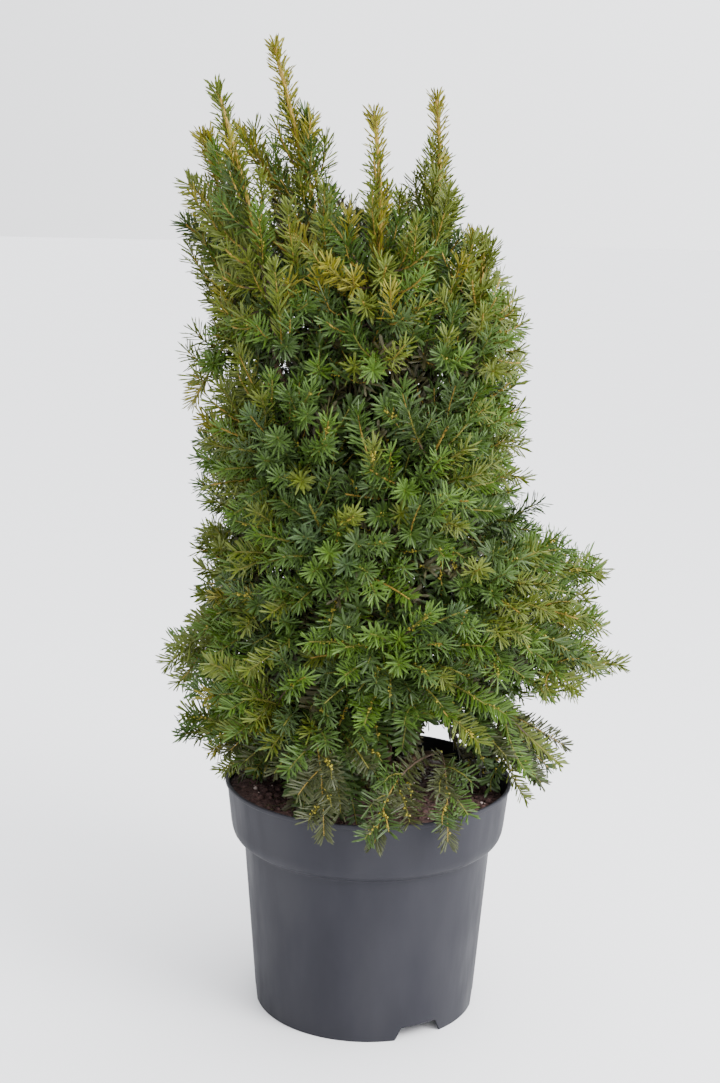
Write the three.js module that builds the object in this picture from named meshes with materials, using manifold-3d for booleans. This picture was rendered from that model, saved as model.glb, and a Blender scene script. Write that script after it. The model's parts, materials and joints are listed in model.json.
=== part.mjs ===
// A potted english yew: a nursery pot filled with soil, and an upright shrub of one leaning
// trunk, steep boughs and separate masses of foliage. Millimetres, +Z up. The origin is on the
// pot's axis, on the flat underside that it stands on; -Y is the front and +X the right side.
import * as THREE from 'three';
import { mergeVertices } from 'three/addons/utils/BufferGeometryUtils.js';
import Module from 'manifold-3d';

const wasm = await Module();
wasm.setup();

const { lerp, degToRad, clamp } = THREE.MathUtils;

// ---------------------------------------------------------------- driving dimensions
const GAP = 0.3; // clearance between neighbouring pieces
const WELD = 1e-4; // distance under which two vertices are one

const POT = {
  segments: 36,
  height: 230,
  footRadius: 109,
  waistRadius: 122, // top of the tapered body, at the crease under the collar
  waistHeight: 169,
  collarRadius: 135,
  collarHeight: 182,
  lipRadius: 141,
  lipHeight: 4,
  lipStep: 2,
  wall: 2.4,
  floor: 2.6,
  discRadius: 62, // central disc that stands on the ground with the foot ring
  channelRise: 14, // raised ring of the underside, with the drain holes in it
  channelSlope: 6,
};
const NOTCH = {
  footWidth: 50,
  topWidth: 38,
  height: 13,
  depth: 30,
  anglesFromFront: [29, 89, 209, 269], // degrees, turning towards the right side
};
const DRAIN = { count: 6, radius: 6, ring: 86, sides: 8 };

const SOIL = {
  segments: 18,
  top: 215,
  edgeDrop: 3,
  flatRadius: 26, // level patch that the trunk stands on
  rings: [58, 92],
  bump: 3.5,
  clearance: 0.5,
};

const TRUNK = {
  sides: 10,
  steps: 9,
  baseRadius: 10,
  tipRadius: 4,
  flare: 0.65, // extra share of the radius at the soil
  flareHeight: 17,
  flareLobes: 3,
  lobeDepth: 0.16,
  crowding: 0.35, // draws the rings together towards the flare
};
// The trunk's centre line leans a little to the right and then to the left, as [x, y, z].
const TRUNK_LINE = [
  [8, 3, SOIL.top + GAP],
  [15, 1, 290],
  [9, 4, 400],
  [-10, 7, 520],
  [-30, 4, 640],
];

// The crown's outline: at each height, its reach from the pot's axis to four sides.
const CROWN = [
  { z: 205, right: 150, back: 145, left: 132, front: 152 },
  { z: 250, right: 186, back: 160, left: 160, front: 163 },
  { z: 290, right: 168, back: 165, left: 176, front: 158 },
  { z: 350, right: 236, back: 168, left: 200, front: 160 },
  { z: 400, right: 222, back: 168, left: 170, front: 166 },
  { z: 450, right: 208, back: 163, left: 162, front: 166 },
  { z: 495, right: 160, back: 160, left: 160, front: 160 },
  { z: 550, right: 142, back: 158, left: 166, front: 156 },
  { z: 610, right: 132, back: 154, left: 176, front: 152 },
  { z: 680, right: 138, back: 142, left: 170, front: 140 },
  { z: 730, right: 112, back: 122, left: 176, front: 118 },
  { z: 775, right: 70, back: 84, left: 184, front: 84 },
  { z: 800, right: 10, back: 10, left: 20, front: 10 },
];

// Side masses climb the trunk in a spiral, from the rim of the pot to the foot of the plumes.
// Each pair of values is for the lowest and the highest of them; shares run from the trunk's
// centre line (0) to the outline (1), and slopes are twig angles above the level.
const SPIRAL = {
  count: 19,
  firstAngle: 174,
  boughZ: [226, 468],
  centreZ: [258, 605],
  rootDrop: [8, 62], // root's depth below the centre
  leadRise: [14, 78], // tip's height above the centre
  lowSlope: [-30, -18],
  highSlope: [26, 62],
  fan: 82, // degrees to either side of straight out
};
const ROOT_SHARE = 0.34; // where a side mass's root, centre and tip lie
const CENTRE_SHARE = 0.56;
const LEAD_SHARE = 0.88;
const PLUME_FAN = 130; // the plumes' twigs, in the same terms
const PLUME_SLOPES = [-24, 76];

// The upright leaders: each mass rises from its root through its centre to its own tip.
const PLUMES = [
  { name: 'tall', root: null, centre: [-62, -2, 702], tip: [-98, -5, 930] },
  { name: 'front_left', boughZ: 520, root: [-84, -46, 622], centre: [-114, -66, 688], tip: [-146, -52, 889] },
  { name: 'left', boughZ: 505, root: [-90, 26, 614], centre: [-132, 26, 674], tip: [-166, 24, 850] },
  { name: 'back_left', boughZ: 560, root: [-72, 62, 636], centre: [-84, 86, 692], tip: [-116, 66, 838] },
  { name: 'back', boughZ: 535, root: [4, 66, 626], centre: [10, 96, 682], tip: [-12, 82, 778] },
  { name: 'right', boughZ: 575, root: [24, 14, 648], centre: [36, 20, 710], tip: [50, 8, 887] },
  { name: 'front', boughZ: 548, root: [-12, -50, 634], centre: [-10, -70, 700], tip: [-7, -50, 870] },
  { name: 'far_right', boughZ: 478, root: [70, -14, 590], centre: [98, -32, 682], tip: [95, -22, 764] },
];
// Single shoots that stand out of the outline, each grown by the mass whose space holds it.
const STRAY_TIPS = [
  { name: 'second_left', at: [-171, -14, 815] },
  { name: 'left_shoulder', at: [-185, 0, 772] },
  { name: 'behind_right', at: [41, 46, 813] },
  { name: 'front_shoulder', at: [-46, -64, 784] },
  { name: 'right_shoulder', at: [128, 14, 700] },
  { name: 'left_waist', at: [-179, -10, 612] },
  { name: 'right_waist', at: [182, -20, 472] },
  { name: 'right_arm', at: [223, 10, 452] },
  { name: 'right_hand', at: [245, -8, 354] },
  { name: 'right_foot', at: [192, -16, 268] },
  { name: 'left_arm', at: [-203, -20, 353] },
  { name: 'left_foot', at: [-188, -6, 267] },
  { name: 'droop_centre', at: [6, -166, 176] },
  { name: 'droop_right', at: [72, -150, 178] },
  { name: 'droop_left', at: [-40, -156, 196] },
];
const STRAY = {
  sideFoot: 0.55, // where it leaves the stem
  plumeFoot: 0.3,
  bendShare: 0.55,
  lift: 22, // of its bend above the chord
  droopShare: 0.9,
  droopRise: 12, // of a hanging shoot's bend above its foot
};

const BOUGH = {
  sides: 5,
  steps: 3,
  tipRadius: 2.3,
  footShare: 0.6, // of the trunk's radius there
  bow: 0.2, // of its reach, outward at the middle
};

// A shoot is a slim spine: bare at first, then with levels of needles, one on each side of it,
// that point out and forward and turn by "twist" degrees from one level to the next.
const SPRAY = { levels: 4, leafy: 84, needle: 38, lean: 54, twist: 26, foot: 1.7, tip: 0.8 };
const LEADER = { levels: 11, leafy: 190, needle: 30, lean: 42, twist: 38, foot: 2.1, tip: 0.9 };
const SPINE_SIDES = 3;
const LEAFY_AT_MOST = 0.8; // share of a short spine that has needles
const BARE_POINT = 0.6; // bare end of a spine, in levels
const TIP_NEEDLE = 0.7; // size of the last needles of a shoot beside the first
const NEEDLE_STAGGER = 5; // every other row's tips lie this much further on
const BARE_STEPS = 1; // stations along the bare part of a twig
const STEM_BARE_STEPS = 3; // and of a stem
const SINK = 2; // a stem's start inside the cut round its limb
const TWIG_SHRINKS = [1, 0.85, 0.72]; // lengths tried for a twig before it is left out
const NEEDLE_SHRINKS = [1, 0.8, 0.6]; // and for a needle

const LOWEST_FOOT = 0.24; // where twigs leave the stem, from its root (0) to its tip (1)
const HIGHEST_FOOT = { side: 0.82, plume: 0.6 };
const SLOPE_SPREAD = 16; // degrees
const TWIG_TRIES = 9; // per mass, of which those that find room grow
const TIP_SPACING = 34; // least distance between the tips of one mass
const SHORTEST_TWIG = 40;
const LONGEST_TWIG = 150;
const TWIG_ARCH = 0.12; // rise above the chord, as a share of the twig's length
const SPINE_CHECKS = 24; // points tested along a spine
const NEEDLE_CHECKS = [0.35, 0.7, 1]; // where along a needle its room is tested
const NEEDLE_SPACING = 12; // least distance between needles of different twigs
const GOLDEN_RATIO = (Math.sqrt(5) - 1) / 2;
const GOLDEN_ANGLE = Math.PI * (3 - Math.sqrt(5));
const SURFACE_MARGIN = 5; // tips stop this short of the outline
const SPINE_MARGIN = 7; // spines stay this far from the next mass's space
const ROOT_MARGIN = 4; // so do the roots of stems
const CELL_MARGIN = 0.4; // and needles this far
const LIMB_MARGIN = 1.2; // and both this clear of any limb
const RIM_MARGIN = 4; // and this clear of the pot's rim
const MARCH_STEP = 4;

// Round a mass's centre its twigs are bare, as shares of the free way there in each direction;
// the core fills the middle of that bare space.
const BARE = { inward: 0.42, outward: 0.26, sideways: 0.6, upright: 0.62, smallest: 12, largest: 60 };
const CORE_SHARE = 0.8;
const CORE_LUMP = 0.14; // random extra

const SEED = 41;

const COLOURS = {
  pot: { color: 0x5a5a60, roughness: 0.5 },
  soil: { color: 0x372c26, roughness: 0.95 },
  bark: { color: 0x5b4433, roughness: 0.85 },
  low: { color: 0x4a5b2b, roughness: 0.55 },
  middle: { color: 0x48592a, roughness: 0.55 },
  plume: { color: 0x6f7034, roughness: 0.55 },
};

// ---------------------------------------------------------------- small helpers
const UP = new THREE.Vector3(0, 0, 1);
const vector = ([x, y, z]) => new THREE.Vector3(x, y, z);

// A repeatable stream of numbers from 0 to 1.
function seededRandom(seed) {
  let state = seed >>> 0;
  return () => {
    state = (state + 0x6d2b79f5) >>> 0;
    let mixed = state;
    mixed = Math.imul(mixed ^ (mixed >>> 15), mixed | 1);
    mixed ^= mixed + Math.imul(mixed ^ (mixed >>> 7), mixed | 61);
    return ((mixed ^ (mixed >>> 14)) >>> 0) / 4294967296;
  };
}

// The same surface with shared vertices and no faces of zero size.
function welded(geometry) {
  const bare = geometry.clone();
  bare.deleteAttribute('normal');
  bare.deleteAttribute('uv');
  const merged = mergeVertices(bare, WELD);
  const corners = merged.index.array;
  const kept = [];
  for (let i = 0; i < corners.length; i += 3) {
    const [a, b, c] = [corners[i], corners[i + 1], corners[i + 2]];
    if (a !== b && b !== c && c !== a) kept.push(a, b, c);
  }
  merged.setIndex(kept);
  return merged;
}

function solidOf(geometry) {
  const merged = welded(geometry);
  return new wasm.Manifold(new wasm.Mesh({
    numProp: 3,
    vertProperties: new Float32Array(merged.attributes.position.array),
    triVerts: new Uint32Array(merged.index.array),
  }));
}

function geometryOf(solid) {
  const { vertProperties, triVerts } = solid.getMesh();
  const geometry = new THREE.BufferGeometry();
  geometry.setAttribute('position', new THREE.BufferAttribute(vertProperties, 3));
  geometry.setIndex(new THREE.BufferAttribute(triVerts, 1));
  geometry.computeVertexNormals();
  return geometry;
}

const joined = (solids) => solids.reduce((whole, piece) => whole.add(piece));

// The biggest of the loose bodies that a cut may leave.
function largestBody(solid) {
  return solid.decompose().reduce((best, body) => (body.volume() > best.volume() ? body : best));
}

function named(name, geometry, look) {
  const material = new THREE.MeshStandardMaterial({ ...look, metalness: 0 });
  const mesh = new THREE.Mesh(geometry, material);
  mesh.name = name;
  return mesh;
}

// ---------------------------------------------------------------- pot and soil
// Radius of the pot's outer face at a height.
function potRadius(z) {
  const { footRadius, waistRadius, waistHeight, collarRadius, collarHeight, lipRadius, height } = POT;
  if (z < waistHeight) return lerp(footRadius, waistRadius, z / waistHeight);
  if (z < collarHeight) return collarRadius;
  return lerp(collarRadius, lipRadius, (z - collarHeight) / (height - collarHeight));
}

function potOutline() {
  const p = POT;
  const lipFoot = p.height - p.lipHeight;
  const collarTop = p.lipRadius - p.lipStep;
  const inFloor = p.channelRise + p.floor;
  const outline = new THREE.Path();
  outline.moveTo(0, 0);
  outline.lineTo(p.discRadius, 0);
  outline.lineTo(p.discRadius + p.channelSlope, p.channelRise);
  outline.lineTo(p.footRadius - 2 * p.wall, p.channelRise);
  outline.lineTo(p.footRadius - p.wall, 0);
  outline.lineTo(p.footRadius, 0);
  outline.lineTo(p.waistRadius, p.waistHeight);
  outline.quadraticCurveTo(p.collarRadius - 2, p.waistHeight, p.collarRadius, p.collarHeight);
  outline.lineTo(collarTop, lipFoot);
  outline.lineTo(p.lipRadius, lipFoot + 1);
  outline.lineTo(p.lipRadius, p.height);
  outline.lineTo(p.lipRadius - p.wall - 1, p.height);
  outline.lineTo(p.collarRadius - p.wall, p.collarHeight + p.wall);
  outline.lineTo(p.waistRadius - p.wall, p.waistHeight + p.wall);
  outline.lineTo(potRadius(inFloor) - p.wall, inFloor);
  outline.lineTo(p.discRadius + p.channelSlope - p.floor, inFloor);
  outline.lineTo(p.discRadius - p.floor, p.floor);
  outline.lineTo(0, p.floor);
  return outline.getPoints(3);
}

function upright(latheGeometry) {
  return latheGeometry.rotateX(Math.PI / 2);
}

function notchSolid(angleFromFront) {
  const shape = new THREE.Shape();
  const below = -5;
  const flank = (NOTCH.footWidth - NOTCH.topWidth) / 2 / NOTCH.height;
  const half = NOTCH.footWidth / 2;
  shape.moveTo(-half + flank * below, below);
  shape.lineTo(half - flank * below, below);
  shape.lineTo(NOTCH.topWidth / 2, NOTCH.height);
  shape.lineTo(-NOTCH.topWidth / 2, NOTCH.height);
  const block = new THREE.ExtrudeGeometry(shape, { depth: NOTCH.depth, bevelEnabled: false });
  block.rotateX(Math.PI / 2);
  block.translate(0, NOTCH.depth / 2 - POT.footRadius, 0);
  block.rotateZ(degToRad(angleFromFront));
  return solidOf(block);
}

function drainSolid(index) {
  const hole = new THREE.CylinderGeometry(DRAIN.radius, DRAIN.radius, 4 * POT.floor, DRAIN.sides);
  hole.rotateX(Math.PI / 2);
  hole.translate(DRAIN.ring, 0, POT.channelRise + POT.floor / 2);
  hole.rotateZ(((index + 0.5) * 2 * Math.PI) / DRAIN.count);
  return solidOf(hole);
}

function makePot() {
  const shell = solidOf(upright(new THREE.LatheGeometry(potOutline(), POT.segments)));
  const cuts = NOTCH.anglesFromFront.map(notchSolid);
  for (let i = 0; i < DRAIN.count; i += 1) cuts.push(drainSolid(i));
  return shell.subtract(joined(cuts));
}

function soilOutline() {
  const c = SOIL.clearance;
  const inFloor = POT.channelRise + POT.floor + c;
  const inner = (z) => potRadius(z) - POT.wall - c;
  const wellFoot = POT.floor + c;
  const points = [
    [0, wellFoot],
    [POT.discRadius - POT.floor - c, wellFoot],
    [POT.discRadius + POT.channelSlope - POT.floor - c, inFloor],
    [inner(inFloor), inFloor],
    [POT.waistRadius - POT.wall - c, POT.waistHeight + POT.wall],
    [POT.collarRadius - POT.wall - c, POT.collarHeight + POT.wall],
    [POT.collarRadius - POT.wall - c, SOIL.top - SOIL.edgeDrop],
    ...SOIL.rings.toReversed().map((radius) => [radius, SOIL.top]),
    [SOIL.flatRadius, SOIL.top],
    [0, SOIL.top],
  ];
  return points.map(([radius, z]) => new THREE.Vector2(radius, z));
}

// Soil that fills the pot, uneven on top except where the trunk stands.
function makeSoil() {
  const random = seededRandom(SEED);
  const soil = welded(upright(new THREE.LatheGeometry(soilOutline(), SOIL.segments)));
  const spots = soil.attributes.position;
  for (let i = 0; i < spots.count; i += 1) {
    const radius = Math.hypot(spots.getX(i), spots.getY(i));
    const onTop = spots.getZ(i) > SOIL.top - SOIL.edgeDrop - 1;
    if (!onTop || radius < SOIL.flatRadius + 1) continue;
    spots.setZ(i, spots.getZ(i) + (random() - 0.5) * 2 * SOIL.bump);
  }
  return solidOf(soil);
}

// ---------------------------------------------------------------- limbs
// A closed limb along a curve. ringAt(t) gives the ring's centre, its two directions and its
// radius, which may change with the angle round the ring.
function limbGeometry(ringAt, sides, steps) {
  const geometry = new THREE.CylinderGeometry(1, 1, 1, sides, steps);
  const spots = geometry.attributes.position;
  const spot = new THREE.Vector3();
  for (let i = 0; i < spots.count; i += 1) {
    const [x, y, z] = [spots.getX(i), spots.getY(i), spots.getZ(i)];
    const ring = ringAt(clamp(y + 0.5, 0, 1));
    const radius = ring.radius(Math.atan2(z, x));
    spot.copy(ring.centre);
    spot.addScaledVector(ring.side, x * radius);
    spot.addScaledVector(ring.other, z * radius);
    spots.setXYZ(i, spot.x, spot.y, spot.z);
  }
  return geometry;
}

// Directions across a tangent: "side" stays level as far as it can.
function frameAlong(tangent, level) {
  const side = level.clone().addScaledVector(tangent, -level.dot(tangent)).normalize();
  const other = side.clone().cross(tangent);
  return { side, other };
}

function levelAcross(from, to) {
  const along = to.clone().sub(from);
  const across = new THREE.Vector3(-along.y, along.x, 0);
  return across.lengthSq() > 1 ? across.normalize() : new THREE.Vector3(1, 0, 0);
}

// A tapering limb: extra widens it all round and lengthens its tip, to cut its neighbours clear.
function taperedLimb(curve, footRadius, tipRadius, sides, steps, extra = 0) {
  const level = levelAcross(curve.getPoint(0), curve.getPoint(1));
  const wider = extra / Math.cos(Math.PI / sides);
  return limbGeometry((t) => {
    const tangent = curve.getTangent(t);
    const centre = curve.getPoint(t);
    if (t === 1) centre.addScaledVector(tangent, extra);
    const radius = lerp(footRadius, tipRadius, t) + wider;
    return { centre, ...frameAlong(tangent, level), radius: () => radius };
  }, sides, steps);
}

const trunkCurve = new THREE.CatmullRomCurve3(TRUNK_LINE.map(vector), false, 'catmullrom');

// The trunk's centre at a height.
function trunkAt(z) {
  let [low, high] = [0, 1];
  for (let i = 0; i < 24; i += 1) {
    const middle = (low + high) / 2;
    if (trunkCurve.getPoint(middle).z < z) low = middle;
    else high = middle;
  }
  return trunkCurve.getPoint(low);
}

function trunkRadius(z) {
  const foot = SOIL.top + GAP;
  const top = TRUNK_LINE.at(-1)[2];
  return lerp(TRUNK.baseRadius, TRUNK.tipRadius, clamp((z - foot) / (top - foot), 0, 1));
}

// The trunk has level rings, so that its foot is a flat cut on the soil.
function trunkGeometry(extra = 0) {
  const side = new THREE.Vector3(1, 0, 0);
  const other = new THREE.Vector3(0, -1, 0);
  const wider = extra / Math.cos(Math.PI / TRUNK.sides);
  return limbGeometry((t) => {
    const centre = trunkCurve.getPoint(lerp(t, t * t, TRUNK.crowding));
    const height = centre.z - TRUNK_LINE[0][2];
    const swell = TRUNK.flare * Math.exp(-height / TRUNK.flareHeight);
    const radius = trunkRadius(centre.z);
    if (t === 1) centre.z += extra;
    return {
      centre,
      side,
      other,
      radius: (angle) => {
        const lobe = 1 + TRUNK.lobeDepth * Math.cos(TRUNK.flareLobes * angle) * (swell / TRUNK.flare);
        return radius * (1 + swell) * lobe + wider;
      },
    };
  }, TRUNK.sides, TRUNK.steps);
}

// A bough leaves the trunk's centre line, bows upward and ends at the root of its mass.
function boughCurve(plan) {
  const foot = trunkAt(plan.boughZ);
  const chord = plan.root.clone().sub(foot);
  const middle = foot.clone().addScaledVector(chord, 0.5);
  const outward = new THREE.Vector3(chord.x, chord.y, 0);
  middle.addScaledVector(outward, BOUGH.bow);
  middle.addScaledVector(UP, -BOUGH.bow * 0.5 * outward.length());
  return new THREE.QuadraticBezierCurve3(foot, middle, plan.root);
}

function boughGeometry(plan, extra = 0) {
  const footRadius = trunkRadius(plan.boughZ) * BOUGH.footShare;
  return taperedLimb(plan.bough, footRadius, BOUGH.tipRadius, BOUGH.sides, BOUGH.steps, extra);
}

// ---------------------------------------------------------------- the crown's spaces
function crownRow(z) {
  const last = CROWN.length - 1;
  const above = clamp(CROWN.findIndex((row) => row.z > z), 1, last);
  const [low, high] = [CROWN[above - 1], CROWN[above]];
  const share = clamp((z - low.z) / (high.z - low.z), 0, 1);
  const side = (name) => lerp(low[name], high[name], share);
  return { x: [side('left'), side('right')], y: [side('front'), side('back')] };
}

// Reach of the crown from the pot's axis, as a quarter of an ellipse between two sides.
function crownRadius(angle, z) {
  if (z > CROWN.at(-1).z) return 0;
  const row = crownRow(z);
  const [c, s] = [Math.cos(angle), Math.sin(angle)];
  return 1 / Math.hypot(c / row.x[c > 0 ? 1 : 0], s / row.y[s > 0 ? 1 : 0]);
}

function crownSurface(angle, z) {
  const radius = crownRadius(angle, z);
  return new THREE.Vector3(radius * Math.cos(angle), radius * Math.sin(angle), z);
}

const insideCrown = (p) => Math.hypot(p.x, p.y) < crownRadius(Math.atan2(p.y, p.x), p.z) - SURFACE_MARGIN;

function clearOfPot(p) {
  const radius = Math.hypot(p.x, p.y);
  if (p.z > POT.height + RIM_MARGIN) return true;
  const overSoil = p.z > SOIL.top + SOIL.bump + 1;
  if (overSoil && radius < POT.collarRadius - POT.wall - RIM_MARGIN) return true;
  return radius > POT.lipRadius + RIM_MARGIN;
}

// How far a point lies inside the space of one mass: each space holds what is nearest its centre.
function depthInCell(p, plan) {
  let depth = Infinity;
  for (const other of plans) {
    if (other === plan) continue;
    const apart = other.centre.distanceTo(plan.centre);
    const toPlane = (p.distanceToSquared(other.centre) - p.distanceToSquared(plan.centre)) / (2 * apart);
    depth = Math.min(depth, toPlane);
  }
  return depth;
}

const inCell = (p, plan, margin) => depthInCell(p, plan) > margin && clearOfPot(p);

// Free way from a point along a direction, inside the outline and the mass's own space.
function freeLength(from, direction, plan, margin, furthest) {
  const spot = from.clone();
  let length = 0;
  while (length < furthest && insideCrown(spot) && inCell(spot, plan, margin)) {
    length += MARCH_STEP;
    spot.copy(from).addScaledVector(direction, length);
  }
  return length - MARCH_STEP;
}

// ---------------------------------------------------------------- masses
function sidePlan(index) {
  const share = index / (SPIRAL.count - 1);
  const between = ([low, high]) => lerp(low, high, share);
  const angle = degToRad(SPIRAL.firstAngle) + index * GOLDEN_ANGLE;
  const part = (z, reach) => trunkAt(z).lerp(crownSurface(angle, z), reach);
  const centreZ = between(SPIRAL.centreZ);
  return {
    name: `side_${String(index + 1).padStart(2, '0')}`,
    look: share < 0.3 ? COLOURS.low : COLOURS.middle,
    boughZ: between(SPIRAL.boughZ),
    root: part(centreZ - between(SPIRAL.rootDrop), ROOT_SHARE),
    centre: part(centreZ, CENTRE_SHARE),
    lead: part(centreZ + between(SPIRAL.leadRise), LEAD_SHARE),
    slopes: [between(SPIRAL.lowSlope), between(SPIRAL.highSlope)],
    fan: SPIRAL.fan,
    ending: SPRAY,
    onTrunk: false,
  };
}

function plumePlan(plume) {
  return {
    name: `plume_${plume.name}`,
    look: COLOURS.plume,
    boughZ: plume.boughZ,
    root: plume.root ? vector(plume.root) : trunkCurve.getPoint(1),
    centre: vector(plume.centre),
    lead: vector(plume.tip),
    slopes: PLUME_SLOPES,
    fan: PLUME_FAN,
    ending: LEADER,
    onTrunk: plume.root === null,
  };
}

// The curve through three points, with the middle one half way along.
function curveThrough(from, middle, to) {
  const control = middle.clone().multiplyScalar(2);
  control.addScaledVector(from, -0.5).addScaledVector(to, -0.5);
  return new THREE.QuadraticBezierCurve3(from, control, to);
}

// Draws the tip of a side mass's stem back into the mass's own space.
function shortenLead(plan) {
  const way = plan.lead.clone().sub(plan.centre);
  const direction = way.clone().normalize();
  const free = freeLength(plan.centre, direction, plan, SPINE_MARGIN, way.length());
  plan.lead = plan.centre.clone().addScaledVector(direction, free);
}

const plans = [...Array(SPIRAL.count).keys()].map(sidePlan).concat(PLUMES.map(plumePlan));
for (const plan of plans) {
  while (!plan.onTrunk && depthInCell(plan.root, plan) < ROOT_MARGIN) {
    plan.root.lerp(plan.centre, 0.1);
  }
  if (!plan.onTrunk) plan.bough = boughCurve(plan);
  if (plan.ending === SPRAY) shortenLead(plan);
  plan.stem = curveThrough(plan.root, plan.centre, plan.lead);
  plan.outward = plan.centre.clone().sub(trunkAt(plan.centre.z)).setZ(0).normalize();
  plan.strays = [];
  plan.tips = [plan.lead];
  plan.needles = [];
}
for (const stray of STRAY_TIPS) {
  const tip = vector(stray.at);
  const home = plans.reduce((best, plan) => (
    plan.centre.distanceTo(tip) < best.centre.distanceTo(tip) ? plan : best));
  home.strays.push(tip);
}

// Limbs as points with a radius, to keep twigs and needles off them.
const LIMB_POINTS = 24;
const limbSpots = [];
for (let i = 0; i <= 2 * LIMB_POINTS; i += 1) {
  const at = trunkCurve.getPoint(i / (2 * LIMB_POINTS));
  limbSpots.push({ at, radius: trunkRadius(at.z) });
}
for (const plan of plans) {
  for (let i = 0; plan.bough && i <= LIMB_POINTS; i += 1) {
    const t = i / LIMB_POINTS;
    limbSpots.push({
      at: plan.bough.getPoint(t),
      radius: lerp(trunkRadius(plan.boughZ) * BOUGH.footShare, BOUGH.tipRadius, t),
    });
  }
}
const clearOfLimbs = (p) => limbSpots.every(
  ({ at, radius }) => at.distanceTo(p) > radius + LIMB_MARGIN);

// Reach of a mass's bare middle along a direction from its centre.
function bareReach(direction, plan) {
  const facing = direction.dot(plan.outward);
  const towards = facing > 0 ? BARE.outward : BARE.inward;
  const level = lerp(BARE.sideways, towards, facing ** 2);
  const share = lerp(level, BARE.upright, direction.z ** 2);
  const free = freeLength(plan.centre, direction, plan, CELL_MARGIN, BARE.largest / share);
  return clamp(free * share, BARE.smallest, BARE.largest);
}

function inBareMiddle(p, plan) {
  const way = p.clone().sub(plan.centre);
  const distance = way.length();
  return distance < bareReach(way.divideScalar(distance), plan);
}

// A lumpy core in the bare middle of the mass.
function coreGeometry(plan, random) {
  const core = welded(new THREE.IcosahedronGeometry(1));
  const spots = core.attributes.position;
  const direction = new THREE.Vector3();
  for (let i = 0; i < spots.count; i += 1) {
    direction.fromBufferAttribute(spots, i).normalize();
    const reach = bareReach(direction, plan) * CORE_SHARE * (1 + random() * CORE_LUMP);
    direction.multiplyScalar(reach).add(plan.centre);
    spots.setXYZ(i, direction.x, direction.y, Math.max(direction.z, POT.height + RIM_MARGIN));
  }
  return core;
}

const isFree = (p, plan) => inCell(p, plan, CELL_MARGIN) && clearOfLimbs(p);

// A shoot along a curve, or null where its spine would leave its mass's space or touch a limb.
// Over its last stretch each side of the spine carries a needle at every level, a slim pyramid
// that leans forward; a needle that finds no room is shortened or left out.
function shootGeometry(plan, curve, kind, bareSteps, roll) {
  const { levels, needle, foot, tip } = kind;
  const lean = degToRad(kind.lean);
  const leafyStart = 1 - Math.min(kind.leafy / curve.getLength(), LEAFY_AT_MOST);
  const level = levelAcross(curve.getPoint(0), curve.getPoint(1));
  const stations = [];
  for (let i = 0; i < bareSteps; i += 1) stations.push((leafyStart * i) / bareSteps);
  for (let k = 0; k <= levels; k += 1) stations.push(lerp(leafyStart, 1, k / (levels + BARE_POINT)));

  const outFrom = (k, t, turn) => {
    const { side, other } = frameAlong(curve.getTangent(t), level);
    const twist = degToRad(Math.max(0, k - bareSteps) * kind.twist);
    const angle = roll + twist + (turn * 2 * Math.PI) / SPINE_SIDES;
    return side.multiplyScalar(Math.cos(angle)).addScaledVector(other, Math.sin(angle));
  };
  const grown = [];
  const hasRoom = (p) => plan.needles.every((other) => other.distanceTo(p) > NEEDLE_SPACING);
  const needleTip = (k, row) => {
    const t = (stations[k] + stations[k + 1]) / 2;
    const size = needle * lerp(1, TIP_NEEDLE, ((k - bareSteps) / levels) ** 2);
    const out = outFrom(k + 0.5, t, row + 0.5);
    for (const shrink of NEEDLE_SHRINKS) {
      const forward = size * shrink * Math.cos(lean) + (row % 2) * NEEDLE_STAGGER;
      const apex = curve.getPoint(t).addScaledVector(out, size * shrink * Math.sin(lean));
      apex.addScaledVector(curve.getTangent(t), forward);
      const along = NEEDLE_CHECKS.map((share) => curve.getPoint(t).lerp(apex, share));
      if (along.every((p) => isFree(p, plan) && hasRoom(p))) {
        grown.push(...along);
        return apex;
      }
    }
    return null;
  };

  const spots = [];
  stations.forEach((t, k) => {
    for (let row = 0; row < SPINE_SIDES; row += 1) {
      spots.push(curve.getPoint(t).addScaledVector(outFrom(k, t, row), lerp(foot, tip, t)));
    }
  });
  const point = spots.push(curve.getPoint(1)) - 1;
  const line = curve.getPoints(SPINE_CHECKS);
  const leafyLine = line.slice(Math.ceil(leafyStart * SPINE_CHECKS));
  const leafyPart = spots.slice(SPINE_SIDES * bareSteps).concat(leafyLine);
  if (!line.every(clearOfPot) || !leafyPart.every((spot) => isFree(spot, plan))) return null;

  const faces = [];
  const corner = (k, row) => k * SPINE_SIDES + (row % SPINE_SIDES);
  const last = stations.length - 1;
  for (let k = 0; k < last; k += 1) {
    for (let row = 0; row < SPINE_SIDES; row += 1) {
      const base = [corner(k, row), corner(k, row + 1), corner(k + 1, row + 1), corner(k + 1, row)];
      const hidden = k < bareSteps || inBareMiddle(curve.getPoint(stations[k]), plan);
      const apex = hidden ? null : needleTip(k, row);
      if (apex) {
        const apexIndex = spots.push(apex) - 1;
        base.forEach((from, i) => faces.push(from, apexIndex, base[(i + 1) % 4]));
      } else {
        faces.push(base[0], base[2], base[1], base[0], base[3], base[2]);
      }
    }
  }
  for (let row = 0; row < SPINE_SIDES; row += 1) {
    faces.push(corner(last, row), point, corner(last, row + 1));
    if (row > 1) faces.push(0, row - 1, row);
  }
  plan.needles.push(...grown);
  return new THREE.BufferGeometry().setFromPoints(spots).setIndex(faces);
}

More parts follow.
